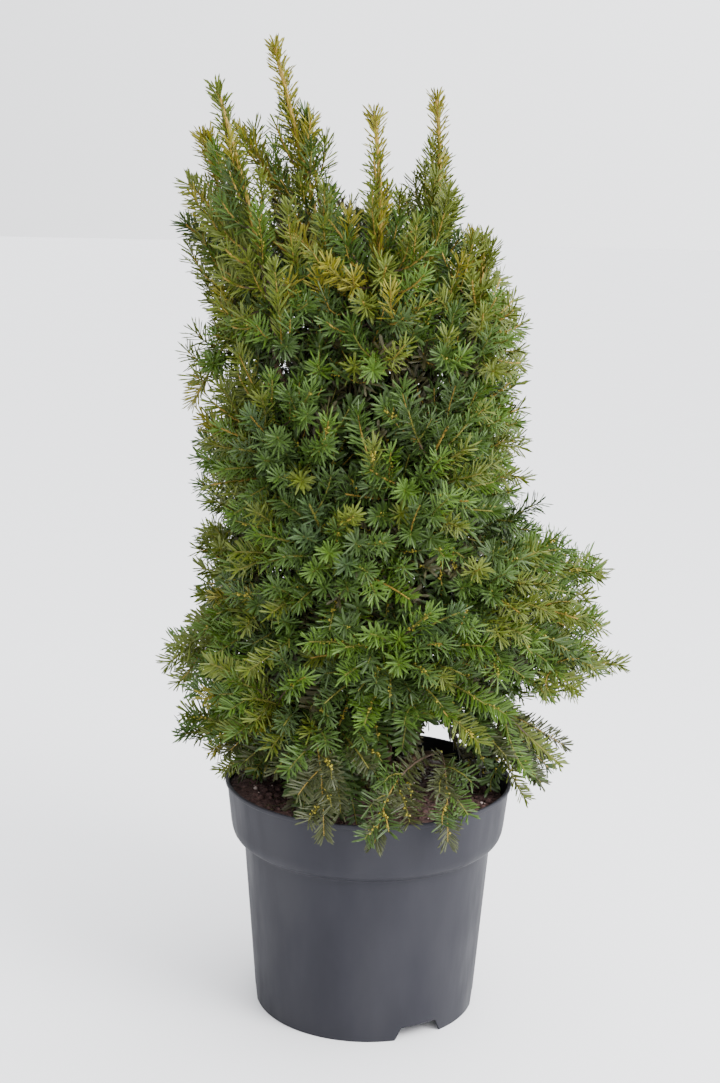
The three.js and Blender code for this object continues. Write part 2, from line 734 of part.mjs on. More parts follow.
// A twig from its foot to its tip; shorter ones are tried where it would not fit.
function growTwig(plan, foot, bend, tip, kind, roll) {
  for (const shrink of TWIG_SHRINKS) {
    const along = (end) => foot.clone().lerp(end, shrink);
    const curve = new THREE.QuadraticBezierCurve3(foot, along(bend), along(tip));
    const crowded = plan.tips.some((other) => other.distanceTo(curve.v2) < TIP_SPACING);
    const shoot = crowded ? null : shootGeometry(plan, curve, kind, BARE_STEPS, roll);
    if (!shoot) continue;
    plan.tips.push(curve.v2);
    return [shoot];
  }
  return [];
}

const randomRoll = (random) => random() * 2 * Math.PI;

// Side twigs fan out from the stem, the lowest ones most level and the highest ones steepest.
function sideTwigs(plan, random) {
  const grown = [];
  const across = new THREE.Vector3(-plan.outward.y, plan.outward.x, 0);
  const phase = random();
  const highest = plan.ending === LEADER ? HIGHEST_FOOT.plume : HIGHEST_FOOT.side;
  for (let i = 0; i < TWIG_TRIES; i += 1) {
    const share = (i + 0.5) / TWIG_TRIES;
    const foot = plan.stem.getPoint(lerp(LOWEST_FOOT, highest, share));
    const turn = degToRad(plan.fan * (2 * ((phase + i * GOLDEN_RATIO) % 1) - 1));
    const slope = degToRad(lerp(...plan.slopes, share) + (random() - 0.5) * SLOPE_SPREAD);
    const direction = plan.outward.clone().multiplyScalar(Math.cos(turn));
    direction.addScaledVector(across, Math.sin(turn)).multiplyScalar(Math.cos(slope));
    direction.addScaledVector(UP, Math.sin(slope));
    const length = freeLength(foot, direction, plan, SPINE_MARGIN, LONGEST_TWIG);
    const roll = randomRoll(random);
    if (length < SHORTEST_TWIG) continue;
    const tip = foot.clone().addScaledVector(direction, length);
    const bend = foot.clone().lerp(tip, 0.5).addScaledVector(UP, length * TWIG_ARCH);
    grown.push(...growTwig(plan, foot, bend, tip, SPRAY, roll));
  }
  return grown;
}

// Stray shoots reach their tip in one bow, and those that hang over the rim of the pot run
// nearly level before they drop.
function strayTwigs(plan, random) {
  return plan.strays.flatMap((tip) => {
    const foot = plan.stem.getPoint(plan.ending === LEADER ? STRAY.plumeFoot : STRAY.sideFoot);
    const bend = foot.clone().lerp(tip, STRAY.bendShare);
    bend.z += STRAY.lift;
    if (tip.z < POT.height) {
      bend.lerpVectors(foot, tip, STRAY.droopShare);
      bend.z = foot.z + STRAY.droopRise;
    }
    return growTwig(plan, foot, bend, tip, SPRAY, randomRoll(random));
  });
}

// The stem starts inside the cut round its limb, so that the cut leaves a clean end.
function stemGeometry(plan, random) {
  const start = plan.root.clone().addScaledVector(plan.stem.getTangent(0), -SINK);
  const stem = new THREE.QuadraticBezierCurve3(start, plan.stem.v1, plan.lead);
  return shootGeometry(plan, stem, plan.ending, STEM_BARE_STEPS, random() * 2);
}

// Limbs whose box meets the mass, to be cut clear of it.
function nearLimbs(solid) {
  const box = solid.boundingBox();
  return limbCutters.filter((cutter) => {
    const { min, max } = cutter.boundingBox();
    return [0, 1, 2].every((i) => min[i] < box.max[i] && max[i] > box.min[i]);
  });
}

function makeMass(plan, index) {
  const random = seededRandom(SEED * 1000 + index * 7919);
  const pieces = [
    stemGeometry(plan, random),
    coreGeometry(plan, random),
    ...strayTwigs(plan, random),
    ...sideTwigs(plan, random),
  ];
  const whole = joined(pieces.map(solidOf));
  const clear = nearLimbs(whole).reduce((mass, limb) => mass.subtract(limb), whole);
  return largestBody(clear);
}

// ---------------------------------------------------------------- assembly
const yew = new THREE.Group();
yew.name = 'potted_yew';
yew.add(named('pot', geometryOf(makePot()), COLOURS.pot));
yew.add(named('soil', geometryOf(makeSoil()), COLOURS.soil));
yew.add(named('trunk', geometryOf(solidOf(trunkGeometry())), COLOURS.bark));

const trunkCutter = solidOf(trunkGeometry(GAP));
const limbCutters = [trunkCutter];
for (const plan of plans) {
  if (!plan.bough) continue;
  limbCutters.push(solidOf(boughGeometry(plan, GAP)));
  const bough = largestBody(solidOf(boughGeometry(plan)).subtract(trunkCutter));
  yew.add(named(`bough_${plan.name}`, geometryOf(bough), COLOURS.bark));
}
plans.forEach((plan, index) => {
  yew.add(named(`foliage_${plan.name}`, geometryOf(makeMass(plan, index)), plan.look));
});

export default yew;
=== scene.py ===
# A potted english yew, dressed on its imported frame: a nursery pot with soil in it, bark on the
# trunk and boughs, and a crown of twigs, needles and buds grown by the rule of the solids.
# Lengths are in millimetres until a mesh is made, and the frame's +Z is up and -Y the front.
import itertools
import json
import math
import random
from dataclasses import dataclass

import bmesh
import bpy
import numpy as np
from mathutils import Matrix, Vector, noise

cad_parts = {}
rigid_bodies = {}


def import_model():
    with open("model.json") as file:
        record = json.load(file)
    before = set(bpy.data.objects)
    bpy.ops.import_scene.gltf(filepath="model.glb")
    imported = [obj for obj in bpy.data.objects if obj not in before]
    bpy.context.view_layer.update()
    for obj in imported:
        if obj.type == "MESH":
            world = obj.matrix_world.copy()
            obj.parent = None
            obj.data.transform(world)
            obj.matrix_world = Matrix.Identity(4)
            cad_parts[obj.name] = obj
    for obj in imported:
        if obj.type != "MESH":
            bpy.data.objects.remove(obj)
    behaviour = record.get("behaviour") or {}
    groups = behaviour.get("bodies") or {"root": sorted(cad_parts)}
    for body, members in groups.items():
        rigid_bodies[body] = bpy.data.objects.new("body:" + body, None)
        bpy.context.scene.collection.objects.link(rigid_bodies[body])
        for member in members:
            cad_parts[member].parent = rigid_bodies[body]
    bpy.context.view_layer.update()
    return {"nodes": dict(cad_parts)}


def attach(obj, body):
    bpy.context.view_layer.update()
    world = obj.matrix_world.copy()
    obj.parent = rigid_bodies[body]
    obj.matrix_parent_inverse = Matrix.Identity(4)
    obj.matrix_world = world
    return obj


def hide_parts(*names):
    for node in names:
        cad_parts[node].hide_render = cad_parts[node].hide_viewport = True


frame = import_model()
MM = 0.001


def vec(*xyz):
    return np.array(xyz, float)


# ---- the solids' driving sizes
POT_HEIGHT = 230
FOOT_RADIUS = 109
WAIST = (122, 169)  # radius and height of the crease under the collar
COLLAR = (135, 182)
LIP_RADIUS = 141
LIP_HEIGHT = 4
LIP_STEP = 2
WALL = 2.4
FLOOR = 2.6
DISC_RADIUS = 62
CHANNEL_RISE = 14
CHANNEL_SLOPE = 6
NOTCH = {"foot": 50, "top": 38, "height": 13, "depth": 30, "angles": (29, 89, 209, 269)}
DRAIN = {"count": 6, "radius": 6, "ring": 86}

SOIL_TOP = 215
SOIL_GAP = 0.5  # between the soil and the pot
SOIL_RADIUS = COLLAR[0] - WALL - SOIL_GAP
SOIL_BANK = {"rise": 9, "widen": 0.028, "from": 50, "over": 50}  # against the left wall
SOIL_PATCH = (14, 22)  # radius of the level patch round the trunk, and the width of its edge
SOIL_EDGE = (100, 30, 3)  # where the soil starts to fall to the wall, over what width, how deep

TRUNK_LINE = ((8, 3, 215.3), (15, 1, 290), (9, 4, 400), (-10, 7, 520), (-30, 4, 640))
TRUNK_BASE, TRUNK_TIP = 10, 4
FLARE, FLARE_HEIGHT, FLARE_LOBES, LOBE_DEPTH = 0.65, 17, 3, 0.16
BOUGH_TIP, BOUGH_SHARE, BOUGH_BOW = 2.3, 0.6, 0.2
BOUGH_COLLAR = (0.35, 16)  # how much thicker it is at the trunk, and how soon that ends

# Reach of the crown from the pot's axis: height, right, back, left, front.
CROWN = np.array([
    (205, 150, 145, 138, 152), (250, 192, 160, 162, 163), (290, 144, 165, 176, 158),
    (322, 158, 166, 194, 160), (336, 226, 167, 200, 160), (350, 238, 168, 204, 160),
    (400, 226, 168, 178, 166), (450, 200, 163, 172, 166), (480, 166, 160, 170, 162),
    (500, 150, 160, 170, 160), (550, 142, 158, 172, 156), (610, 142, 154, 167, 152),
    (680, 144, 142, 170, 134), (730, 116, 122, 182, 106), (775, 76, 84, 185, 74),
    (800, 10, 10, 20, 10),
], float)

# The spiral of the side masses, with ranges from the lowest to the highest.
SIDE_COUNT = 19
SPIRAL = {
    "angle": 174, "bough_z": (226, 468), "centre_z": (258, 605), "root_drop": (8, 62),
    "lead_rise": (14, 78), "low_slope": (-30, -18), "high_slope": (26, 62), "fan": 82,
}
ROOT_SHARE, CENTRE_SHARE, LEAD_SHARE = 0.34, 0.56, 0.88
PLUME_FAN = 130
PLUME_SLOPES = (-24, 76)
# How far to the right and to the back some leaders bow, and at what share of their length.
LEADER_BOW = {
    "tall": (5, -24), "front_left": (12, -10), "left": (4, -15), "back_left": (14, -10),
    "right": (30, -24), "front": (20, -22), "far_right": (6, -15),
}
LEADER_BEND = 0.42
# Name, bough height, root, centre and tip of each leader.
PLUMES = (
    ("tall", None, None, (-62, -2, 702), (-98, -5, 930)),
    ("front_left", 520, (-84, -46, 622), (-114, -66, 688), (-146, -52, 889)),
    ("left", 505, (-90, 26, 614), (-132, 26, 674), (-166, 24, 850)),
    ("back_left", 560, (-72, 62, 636), (-84, 86, 692), (-116, 66, 838)),
    ("back", 535, (4, 66, 626), (10, 96, 682), (-12, 82, 778)),
    ("right", 575, (24, 14, 648), (36, 20, 710), (50, 8, 887)),
    ("front", 548, (-12, -50, 634), (-10, -70, 700), (-7, -50, 870)),
    ("far_right", 478, (70, -14, 590), (98, -32, 682), (95, -22, 764)),
)
# Where twigs that stand out of their mass end.
STRAY_TIPS = (
    (-174, -14, 798), (-180, 0, 762), (42, 40, 814), (-46, -64, 770), (118, 14, 690),
    (-170, -10, 600), (178, -20, 466), (218, 10, 440), (240, -10, 350), (-194, -20, 346),
    (-182, -12, 272), (6, -160, 222), (72, -148, 220), (-40, -154, 226), (-130, 4, 846),
    (-94, 20, 812), (-68, -4, 854), (-46, 20, 786), (62, -30, 792), (-160, 24, 840),
    (102, -18, 744), (84, -20, 754),
)
# Where some sprays end: low on the right, at the left over the rim, and along the edges and top.
SPRAY_TIPS = (
    (190, -10, 268), (184, -30, 256), (176, -8, 244), (166, 12, 250), (162, -40, 243), (172, -22, 262),
    (-154, -10, 256), (-148, -36, 250), (-136, -56, 242), (-140, -20, 238), (-166, -6, 262),
    (-184, -10, 292), (-174, -14, 282), (-176, -30, 300), (-190, -4, 356), (-184, -30, 330),
    (223, -10, 334), (212, -26, 352), (222, -6, 386), (214, -24, 400), (192, -14, 468),
    (222, -8, 418), (156, -10, 508), (141, -10, 578), (143, -10, 652), (138, -10, 694),
    (-180, -6, 744), (-174, -12, 716), (-168, -10, 560), (-168, 4, 520),
    (30, 34, 806), (22, 30, 790), (-158, 0, 846), (-150, -20, 830),
    (4, -86, 806), (-50, -66, 796), (60, -56, 796), (32, -84, 768), (-24, -92, 768), (-82, -80, 780),
    (84, -52, 754), (-108, -78, 772), (8, -104, 742), (50, -90, 738), (-42, -102, 738),
    (-132, -52, 800), (-66, -96, 756), (74, -84, 712), (-92, -104, 730),
    (-160, -18, 704), (-156, -34, 676), (-161, -8, 668), (-154, -22, 640), (-150, -46, 652),
    (-158, -6, 628), (-146, -38, 614), (-138, -58, 690),
)
# Where strays leave a side mass's stem or a leader, and how they bend.
STRAY = {"side": 0.55, "plume": 0.3, "bend": 0.55, "lift": 12, "droop": 0.85, "droop_rise": 14}
ROOT_DEPTH = 4  # the least depth of a stem's root in its own space
LEAD_MARGINS = (7, 5)  # between a stem's tip and the edge of its space, and the outline
GOLDEN_RATIO = (math.sqrt(5) - 1) / 2
GOLDEN_ANGLE = math.pi * (3 - math.sqrt(5))
SEED = 41

# Where nothing grows: a gap low on the right with the sky in it, and over the bare soil inside
# the left rim. Each is a start, an end and a radius.
CLEARINGS = (
    (vec(52, -220, 342), vec(70, 190, 205), 18),
    (vec(-112, -220, 279), vec(-94, -30, 215), 26),
)

# ---- how fine the crown is
TWIG_TRIES = 36  # first twigs tried on each stem
TWIG_FROM, TWIG_TO, LEADER_TWIG_TO = 0.16, 0.86, 0.72  # shares of the stem that they are on
TIP_SPACING = 24
SHORTEST_TWIG, LONGEST_TWIG = 34, 150
TWIG_ARCH = 0.16
CELL_OVERLAP = 18  # how far a mass's twigs may mingle with the next one's
RAGGED, RAGGED_PATCH = 15, 45  # how much further in some shoots stop, and over what distance
SHOOT_STEP = 13  # between side shoots along a twig
SHOOT_ANGLE, LEADER_ANGLES = 46, (24, 38)  # between side shoots and their twig, in degrees
SHOOT_LENGTH = (26, 56)
# The share of a leader or a twig where side shoots start, and its end that has none.
LEADER_SHOOTS, TWIG_SHOOTS = (0.25, 52), (0.3, 10)
SHOOT_SPACING = 18
# Radii of limbs at the foot and the tip.
STEM_THICK, LEADER_THICK, TWIG_THICK, SHOOT_THICK = (2.8, 1.0), (2.8, 1.9), (1.5, 0.8), (1.0, 0.55)
REACH_THICK, STRAY_THICK, DROOP_THICK = (1.4, 0.7), (1.8, 1.0), (1.3, 0.7)
# Shoots that fill the outline and the inside: how far apart the places are that they grow to,
# the room they need there, how far in those places lie, and how far off their feet may be.
PLACES_BOX, PLACES_TRIED = (vec(-200, -185, 205), vec(250, 185, 800)), 90000
REACH = {"spacing": 24, "room": 19, "shell": 14, "nearest": 28, "furthest": 130}
INNER = {"spacing": 18.6, "room": 14, "from": 36, "to": 150, "nearest": 22, "furthest": 90}
# Rise of new growth for each unit outward, by height: it hangs low down and climbs at the top.
GROWTH_RISE = np.array([
    (200, -0.8), (290, -0.6), (380, -0.25), (470, 0.15), (560, 0.8), (650, 2.0), (740, 4.0), (820, 8.0)])
LIGHT = (0.55, 0.45, 0.5)  # outward, frontward and upward shares of the way that sprays face
SPIRE = {"tip": 10, "taper": 0.2, "most": 46}  # room round a leader above the crown's outline
CLIMB = (630, 90)  # where reaching shoots start to climb, and over what height
SPARSE = (110, 50)  # how far right inner shoots start to thin out, and over what width
REACH_COST, TWIG_REACH = 500, 75  # the most a reach may cost, and the length that makes it a twig
# How far back from their tips shoots have needles.
SHOOT_LEAFY, TWIG_LEAFY, CLIMB_LEAFY, STRAY_LEAFY, LEADER_LEAFY = 60, 70, 130, 150, 240
NEEDLE_STEP, LEADER_STEP, INNER_STEP = 0.74, 0.5, 1.4  # between needles along a shoot
LEADER_TUFT = 9  # how far the needles stand above a leader's tip
LEADER_COVER = ((12, 24, 60, 90), (1, 0.5, 0.5, 0.85))  # share of needles by distance below the tip
LOW_NEEDLES = (290, 0.85)  # below this height they are only this share as long
NEEDLE_LENGTH = (13.5, 19.5)
NEEDLE_WIDTH, INNER_WIDTH, NEEDLE_THICK = 1.65, 2.8, 0.72
FEWEST_NEEDLES = 4  # on a shoot that has any
NEEDLES_IN_PIECE = 36000  # five triangles each
BARE_DEPTH = 62  # needles thin out this deep in the crown
NEEDLE_LEAN, ROUND_LEAN, NEEDLE_LIFT = (48, 74), (46, 72), (-4, 44)  # in degrees
CRUMBS, GRAINS = {"count": 1100, "sizes": (1.0, 4.2)}, {"count": 70, "sizes": (0.8, 3.0)}
FALLEN = {"count": 160, "length": 18.0, "width": 2.2}
# The share of shoots with buds, and the smaller one further left or higher up.
BUDS = {
    "share": 0.42, "few": 0.15, "left_of": -60, "above": 640, "cluster": (5, 15), "stretch": (4, 46),
    "off": 1.7, "size": (0.9, 1.5),
}


# ---- small helpers
def unit(v):
    v = np.asarray(v, float)
    return v / np.maximum(np.linalg.norm(v, axis=-1, keepdims=True), 1e-9)


def lerp(a, b, t):
    return a + (b - a) * t


def ramp(value, start, span):
    """How far a value has gone from start along a span, from 0 to 1."""
    return min(1, max(0, (value - start) / span))


def bezier(a, b, c, t):
    """Points of a quadratic curve."""
    t = np.asarray(t, float)[..., None]
    return a * (1 - t) ** 2 + b * 2 * t * (1 - t) + c * t ** 2


def bezier_tangent(a, b, c, t):
    """Directions along a quadratic curve."""
    t = np.asarray(t, float)[..., None]
    return unit((b - a) * (1 - t) + (c - b) * t)


def frames(tangents, upper=(0, 0, 1)):
    """A side direction and an upper one across each tangent, the second nearest to upper."""
    side = np.cross(tangents, np.broadcast_to(upper, tangents.shape))
    steep = np.linalg.norm(side, axis=-1) < 0.05
    side[steep] = vec(1, 0, 0)
    side = unit(side - tangents * (side * tangents).sum(-1, keepdims=True))
    return side, np.cross(side, tangents)


def join(parts):
    """Points and triangles of many small meshes as one."""
    points, faces, count = [], [], 0
    for p, f in parts:
        points.append(p)
        faces.append(f + count)
        count += len(p)
    return np.concatenate(points), np.concatenate(faces)


def place_object(name, data):
    obj = bpy.data.objects.new(name, data)
    bpy.context.scene.collection.objects.link(obj)
    return obj


def mesh_object(name, vertices, faces, material=None):
    """An object from points in millimetres and faces of any length."""
    mesh = bpy.data.meshes.new(name)
    mesh.from_pydata(np.asarray(vertices, float) * MM, [], faces, shade_flat=False)
    mesh.validate()
    if material:
        mesh.materials.append(material)
    return place_object(name, mesh)


def piece(name, vertices, faces, material, slot):
    """A visible piece with its material: it rides on the root."""
    obj = mesh_object(name, vertices, faces, material)
    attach(obj, "root")
    return obj


# ---- materials
def new_material(name, colour, roughness, specular):
    material = bpy.data.materials.new(name)
    material.use_nodes = True
    shader = material.node_tree.nodes["Principled BSDF"]
    shader.inputs["Base Color"].default_value = (*colour, 1)
    shader.inputs["Roughness"].default_value = roughness
    shader.inputs["Specular IOR Level"].default_value = specular
    return material, material.node_tree, shader


def add_node(tree, kind, **values):
    """A node of a shader with some inputs set, each named in lower case."""
    node = tree.nodes.new(kind)
    for name, value in values.items():
        node.inputs[name.replace("_", " ").title()].default_value = value
    return node


def noise_at(tree, scale, detail, stretch=(1, 1, 1)):
    """A noise pattern fixed to the object, scale in patches per metre."""
    where = add_node(tree, "ShaderNodeTexCoord")
    mapping = add_node(tree, "ShaderNodeMapping", scale=stretch)
    pattern = add_node(tree, "ShaderNodeTexNoise", scale=scale, detail=detail)
    tree.links.new(where.outputs["Object"], mapping.inputs["Vector"])
    tree.links.new(mapping.outputs["Vector"], pattern.inputs["Vector"])
    return pattern.outputs["Fac"]


def vary_colour(tree, shader, factor, stops):
    blend = add_node(tree, "ShaderNodeValToRGB")
    while len(blend.color_ramp.elements) < len(stops):
        blend.color_ramp.elements.new(0.5)
    for element, (position, colour) in zip(blend.color_ramp.elements, stops):
        element.position = position
        element.color = (*colour, 1)
    tree.links.new(factor, blend.inputs["Fac"])
    tree.links.new(blend.outputs["Color"], shader.inputs["Base Color"])


def vary_value(tree, factor, socket, low, high, start=0.3, end=0.7):
    """Feeds a socket from low to high as a factor goes from start to end."""
    span = add_node(tree, "ShaderNodeMapRange", from_min=start, from_max=end, to_min=low, to_max=high)
    tree.links.new(factor, span.inputs["Value"])
    tree.links.new(span.outputs["Result"], socket)


def add_bump(tree, shader, factor, depth, strength=1.0):
    bump = add_node(tree, "ShaderNodeBump", distance=depth, strength=strength)
    tree.links.new(factor, bump.inputs["Height"])
    if shader.inputs["Normal"].is_linked:
        tree.links.new(shader.inputs["Normal"].links[0].from_socket, bump.inputs["Normal"])
    tree.links.new(bump.outputs["Normal"], shader.inputs["Normal"])


def pot_material():
    """Recycled grey plastic: satin, a little cloudy, with faint scuffs round and down it."""
    material, tree, shader = new_material("pot_plastic", (0.022, 0.022, 0.027), 0.55, 0.08)
    cloudy = noise_at(tree, 16, 6, stretch=(1, 1, 0.35))
    vary_colour(tree, shader, cloudy, ((0.3, (0.0195, 0.0195, 0.0245)), (0.7, (0.029, 0.029, 0.034))))
    scuffed = noise_at(tree, 60, 6, stretch=(1, 1, 0.25))
    vary_value(tree, scuffed, shader.inputs["Roughness"], 0.42, 0.6)
    add_bump(tree, shader, noise_at(tree, 900, 3), depth=0.00005)
    add_bump(tree, shader, noise_at(tree, 120, 5, stretch=(1, 1, 0.06)), depth=0.00008)
    return material


def soil_material():
    material, tree, shader = new_material("peat", (0.035, 0.024, 0.02), 0.95, 0.2)
    crumbs = noise_at(tree, 260, 6)
    vary_colour(tree, shader, crumbs, (
        (0.3, (0.026, 0.015, 0.013)), (0.55, (0.085, 0.047, 0.042)), (0.75, (0.15, 0.092, 0.075))))
    add_bump(tree, shader, crumbs, depth=0.0015)
    return material


def bark_material():
    material, tree, shader = new_material("bark", (0.11, 0.07, 0.045), 0.85, 0.25)
    flakes = noise_at(tree, 210, 6, stretch=(1, 1, 0.3))
    vary_colour(tree, shader, flakes, (
        (0.32, (0.035, 0.02, 0.014)), (0.5, (0.12, 0.066, 0.042)), (0.7, (0.2, 0.14, 0.095))))
    add_bump(tree, shader, flakes, depth=0.0012)
    return material


def plain_material(name, colour, rough, specular, grain=700):
    """One plain colour with a skin whose gloss and grain change from place to place."""
    material, tree, shader = new_material(name, colour, 0.5, specular)
    skin = noise_at(tree, grain, 2)
    vary_value(tree, skin, shader.inputs["Roughness"], *rough)
    add_bump(tree, shader, skin, depth=0.0002, strength=0.5)
    return material


NEEDLE_TONES = {
    "gold": (0.155, 0.145, 0.008),
    "olive": (0.078, 0.102, 0.007),
    "fresh": (0.052, 0.103, 0.007),
    "green": (0.036, 0.073, 0.007),
    "deep": (0.027, 0.053, 0.007),
    # a bluish green whose tint is a painted reflection of the pale sky on glossy needles
    "painted_sheen_blue": (0.036, 0.070, 0.017),
    "drab": (0.032, 0.038, 0.009),
    "old": (0.044, 0.041, 0.015),
}
TWIG_TONES = {
    "golden": (0.25, 0.165, 0.027),
    "green": (0.125, 0.12, 0.018),
    "woody": (0.06, 0.038, 0.024),
}


# ---- pot
def rounded(corners):
    """A profile with its corners turned into arcs: each corner is (radius, height, rounding)."""
    steps = 4
    points = []
    for i, (r, z, rounding) in enumerate(corners):
        here = np.array((r, z), float)
        if not rounding or i in (0, len(corners) - 1):
            points.append(here)
            continue
        ends = []
        for corner in (corners[i - 1], corners[i + 1]):
            way = np.array(corner[:2], float) - here
            ends.append(here + unit(way) * min(rounding, np.linalg.norm(way) / 2))
        points += [bezier(ends[0], here, ends[1], k / steps) for k in range(steps + 1)]
    return points


def lathe(profile, segments):
    """Points and faces of a profile of (radius, height) that starts and ends on the axis."""
    vertices, rows = [], []
    for r, z in profile:
        if r < 1e-6:
            rows.append([len(vertices)] * segments)
            vertices.append((0, 0, z))
            continue
        rows.append(list(range(len(vertices), len(vertices) + segments)))
        for k in range(segments):
            angle = 2 * math.pi * k / segments
            vertices.append((r * math.cos(angle), r * math.sin(angle), z))
    faces = []
    for low, high in zip(rows, rows[1:]):
        for k in range(segments):
            ring = [low[k], low[(k + 1) % segments], high[(k + 1) % segments], high[k]]
            faces.append([v for j, v in enumerate(ring) if v not in ring[:j]])
    return vertices, faces


def pot_radius(z):
    if z < WAIST[1]:
        return lerp(FOOT_RADIUS, WAIST[0], z / WAIST[1])
    return lerp(COLLAR[0], LIP_RADIUS, (z - COLLAR[1]) / (POT_HEIGHT - COLLAR[1]))


def notch_cutter(angle):
    """A wedge that opens the foot ring and the wall above it."""
    half_foot, half_top = NOTCH["foot"] / 2, NOTCH["top"] / 2
    below = -5
    spread = (half_foot - half_top) / NOTCH["height"]
    outline = (
        (-half_foot + spread * below, below), (half_foot - spread * below, below),
        (half_top, NOTCH["height"]), (-half_top, NOTCH["height"]))
    far, near = -FOOT_RADIUS - NOTCH["depth"] / 2, -FOOT_RADIUS + NOTCH["depth"] / 2
    vertices = [(x, y, z) for y in (far, near) for x, z in outline]
    faces = [(0, 1, 2, 3), (7, 6, 5, 4)] + [(k, k + 4, (k + 1) % 4 + 4, (k + 1) % 4) for k in range(4)]
    tool = mesh_object("notch", vertices, faces)
    tool.matrix_world = Matrix.Rotation(math.radians(angle), 4, "Z")
    return tool


def drain_cutter(index):
    angle = (index + 0.5) * 2 * math.pi / DRAIN["count"]
    low, high = CHANNEL_RISE - 5, CHANNEL_RISE + FLOOR + 5
    vertices, faces = lathe(((0, low), (DRAIN["radius"], low), (DRAIN["radius"], high), (0, high)), 24)
    tool = mesh_object("drain", vertices, faces)
    tool.matrix_world = Matrix.Rotation(angle, 4, "Z") @ Matrix.Translation((DRAIN["ring"] * MM, 0, 0))
    return tool


def make_pot():
    in_floor = CHANNEL_RISE + FLOOR
    lip_foot = POT_HEIGHT - LIP_HEIGHT
    profile = rounded((
        (0, 0, 0), (DISC_RADIUS, 0, 1.5), (DISC_RADIUS + CHANNEL_SLOPE, CHANNEL_RISE, 3),
        (FOOT_RADIUS - 2 * WALL, CHANNEL_RISE, 3), (FOOT_RADIUS - WALL, 0, 0.6),
        (FOOT_RADIUS, 0, 0.8), (WAIST[0], WAIST[1], 3), (COLLAR[0] - 1.5, COLLAR[1] - 7, 12),
        (LIP_RADIUS - LIP_STEP, lip_foot, 1), (LIP_RADIUS, lip_foot + 0.6, 0.8),
        (LIP_RADIUS, POT_HEIGHT, 1.4), (LIP_RADIUS - WALL - 1, POT_HEIGHT, 1.4),
        (COLLAR[0] - WALL, COLLAR[1] + WALL, 8), (WAIST[0] - WALL, WAIST[1] + WALL, 3),
        (pot_radius(in_floor) - WALL, in_floor, 2), (DISC_RADIUS + CHANNEL_SLOPE - FLOOR, in_floor, 2),
        (DISC_RADIUS - FLOOR, FLOOR, 1), (0, FLOOR, 0)))
    vertices, faces = lathe(profile, segments=144)
    pot = piece("nursery_pot", vertices, faces, pot_material(), "pot")
    cutters = [notch_cutter(a) for a in NOTCH["angles"]]
    cutters += [drain_cutter(i) for i in range(DRAIN["count"])]
    for tool in cutters:
        cut = pot.modifiers.new(tool.name, "BOOLEAN")
        cut.operation = "DIFFERENCE"
        cut.object = tool
        cut.solver = "EXACT"
    bpy.context.view_layer.update()
    done = bpy.data.meshes.new_from_object(pot.evaluated_get(bpy.context.evaluated_depsgraph_get()))
    pot.modifiers.clear()
    pot.data = done
    done.shade_smooth()
    done.set_sharp_from_angle(angle=math.radians(38))
    for tool in cutters:
        bpy.data.objects.remove(tool)
    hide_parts("pot")


# ---- soil
def banked(x):
    """How fully the soil is banked up, from the middle to the left wall."""
    return ramp(-x, SOIL_BANK["from"], SOIL_BANK["over"])


def soil_height(x, y):
    """Uneven peat: level where the trunk stands, banked up at the left, drawn down at the wall."""
    r = math.hypot(x, y)
    rough = noise.fractal(Vector((x, y, 0)) / 34, 1.0, 2.0, 4) * 3.2
    crumbs = noise.fractal(Vector((x, y, 50)) / 7, 0.8, 2.0, 3) * 1.3
    calm = ramp(math.hypot(x - TRUNK_LINE[0][0], y - TRUNK_LINE[0][1]), *SOIL_PATCH)
    start, width, deep = SOIL_EDGE
    edge = deep * max(0, (r - start) / width) ** 2
    return SOIL_TOP + calm * (rough + crumbs) + (1 - calm) * 0.7 + SOIL_BANK["rise"] * banked(x) - edge


def lump_corners():
    """The corners of a twenty-sided die."""
    phi = (1 + math.sqrt(5)) / 2
    corners = [(a, b, 0) for a in (-1, 1) for b in (-phi, phi)]
    return np.array([p[i:] + p[:i] for i in range(3) for p in corners], float)


def lump(centre, size, rng):
    """An uneven crumb: twelve points pushed in and out."""
    corners = lump_corners()
    grow = np.array([rng.uniform(0.75, 1.15) for _ in corners])[:, None]
    return centre + unit(corners) * grow * size * vec(1, rng.uniform(0.7, 1), rng.uniform(0.6, 0.9))


def lump_faces():
    """The twenty faces of a lump, found once from its regular shape."""
    body = bmesh.new()
    for corner in lump_corners():
        body.verts.new(corner)
    bmesh.ops.convex_hull(body, input=body.verts)
    body.verts.index_update()
    faces = np.array([[v.index for v in face.verts] for face in body.faces])
    body.free()
    return faces


def scatter_lumps(name, material, rng, count, sizes):
    """A piece of many lumps of different sizes that lie on the soil."""
    parts = []
    faces = lump_faces()
    for _ in range(count):
        r = (SOIL_RADIUS - 5) * math.sqrt(rng.random())
        angle = rng.uniform(0, 2 * math.pi)
        x, y = r * math.cos(angle), r * math.sin(angle)
        size = lerp(*sizes, rng.random() ** 2.5)
        parts.append((lump(vec(x, y, soil_height(x, y) + size * 0.35), size, rng), faces))
    piece(name, *join(parts), material, "soil")


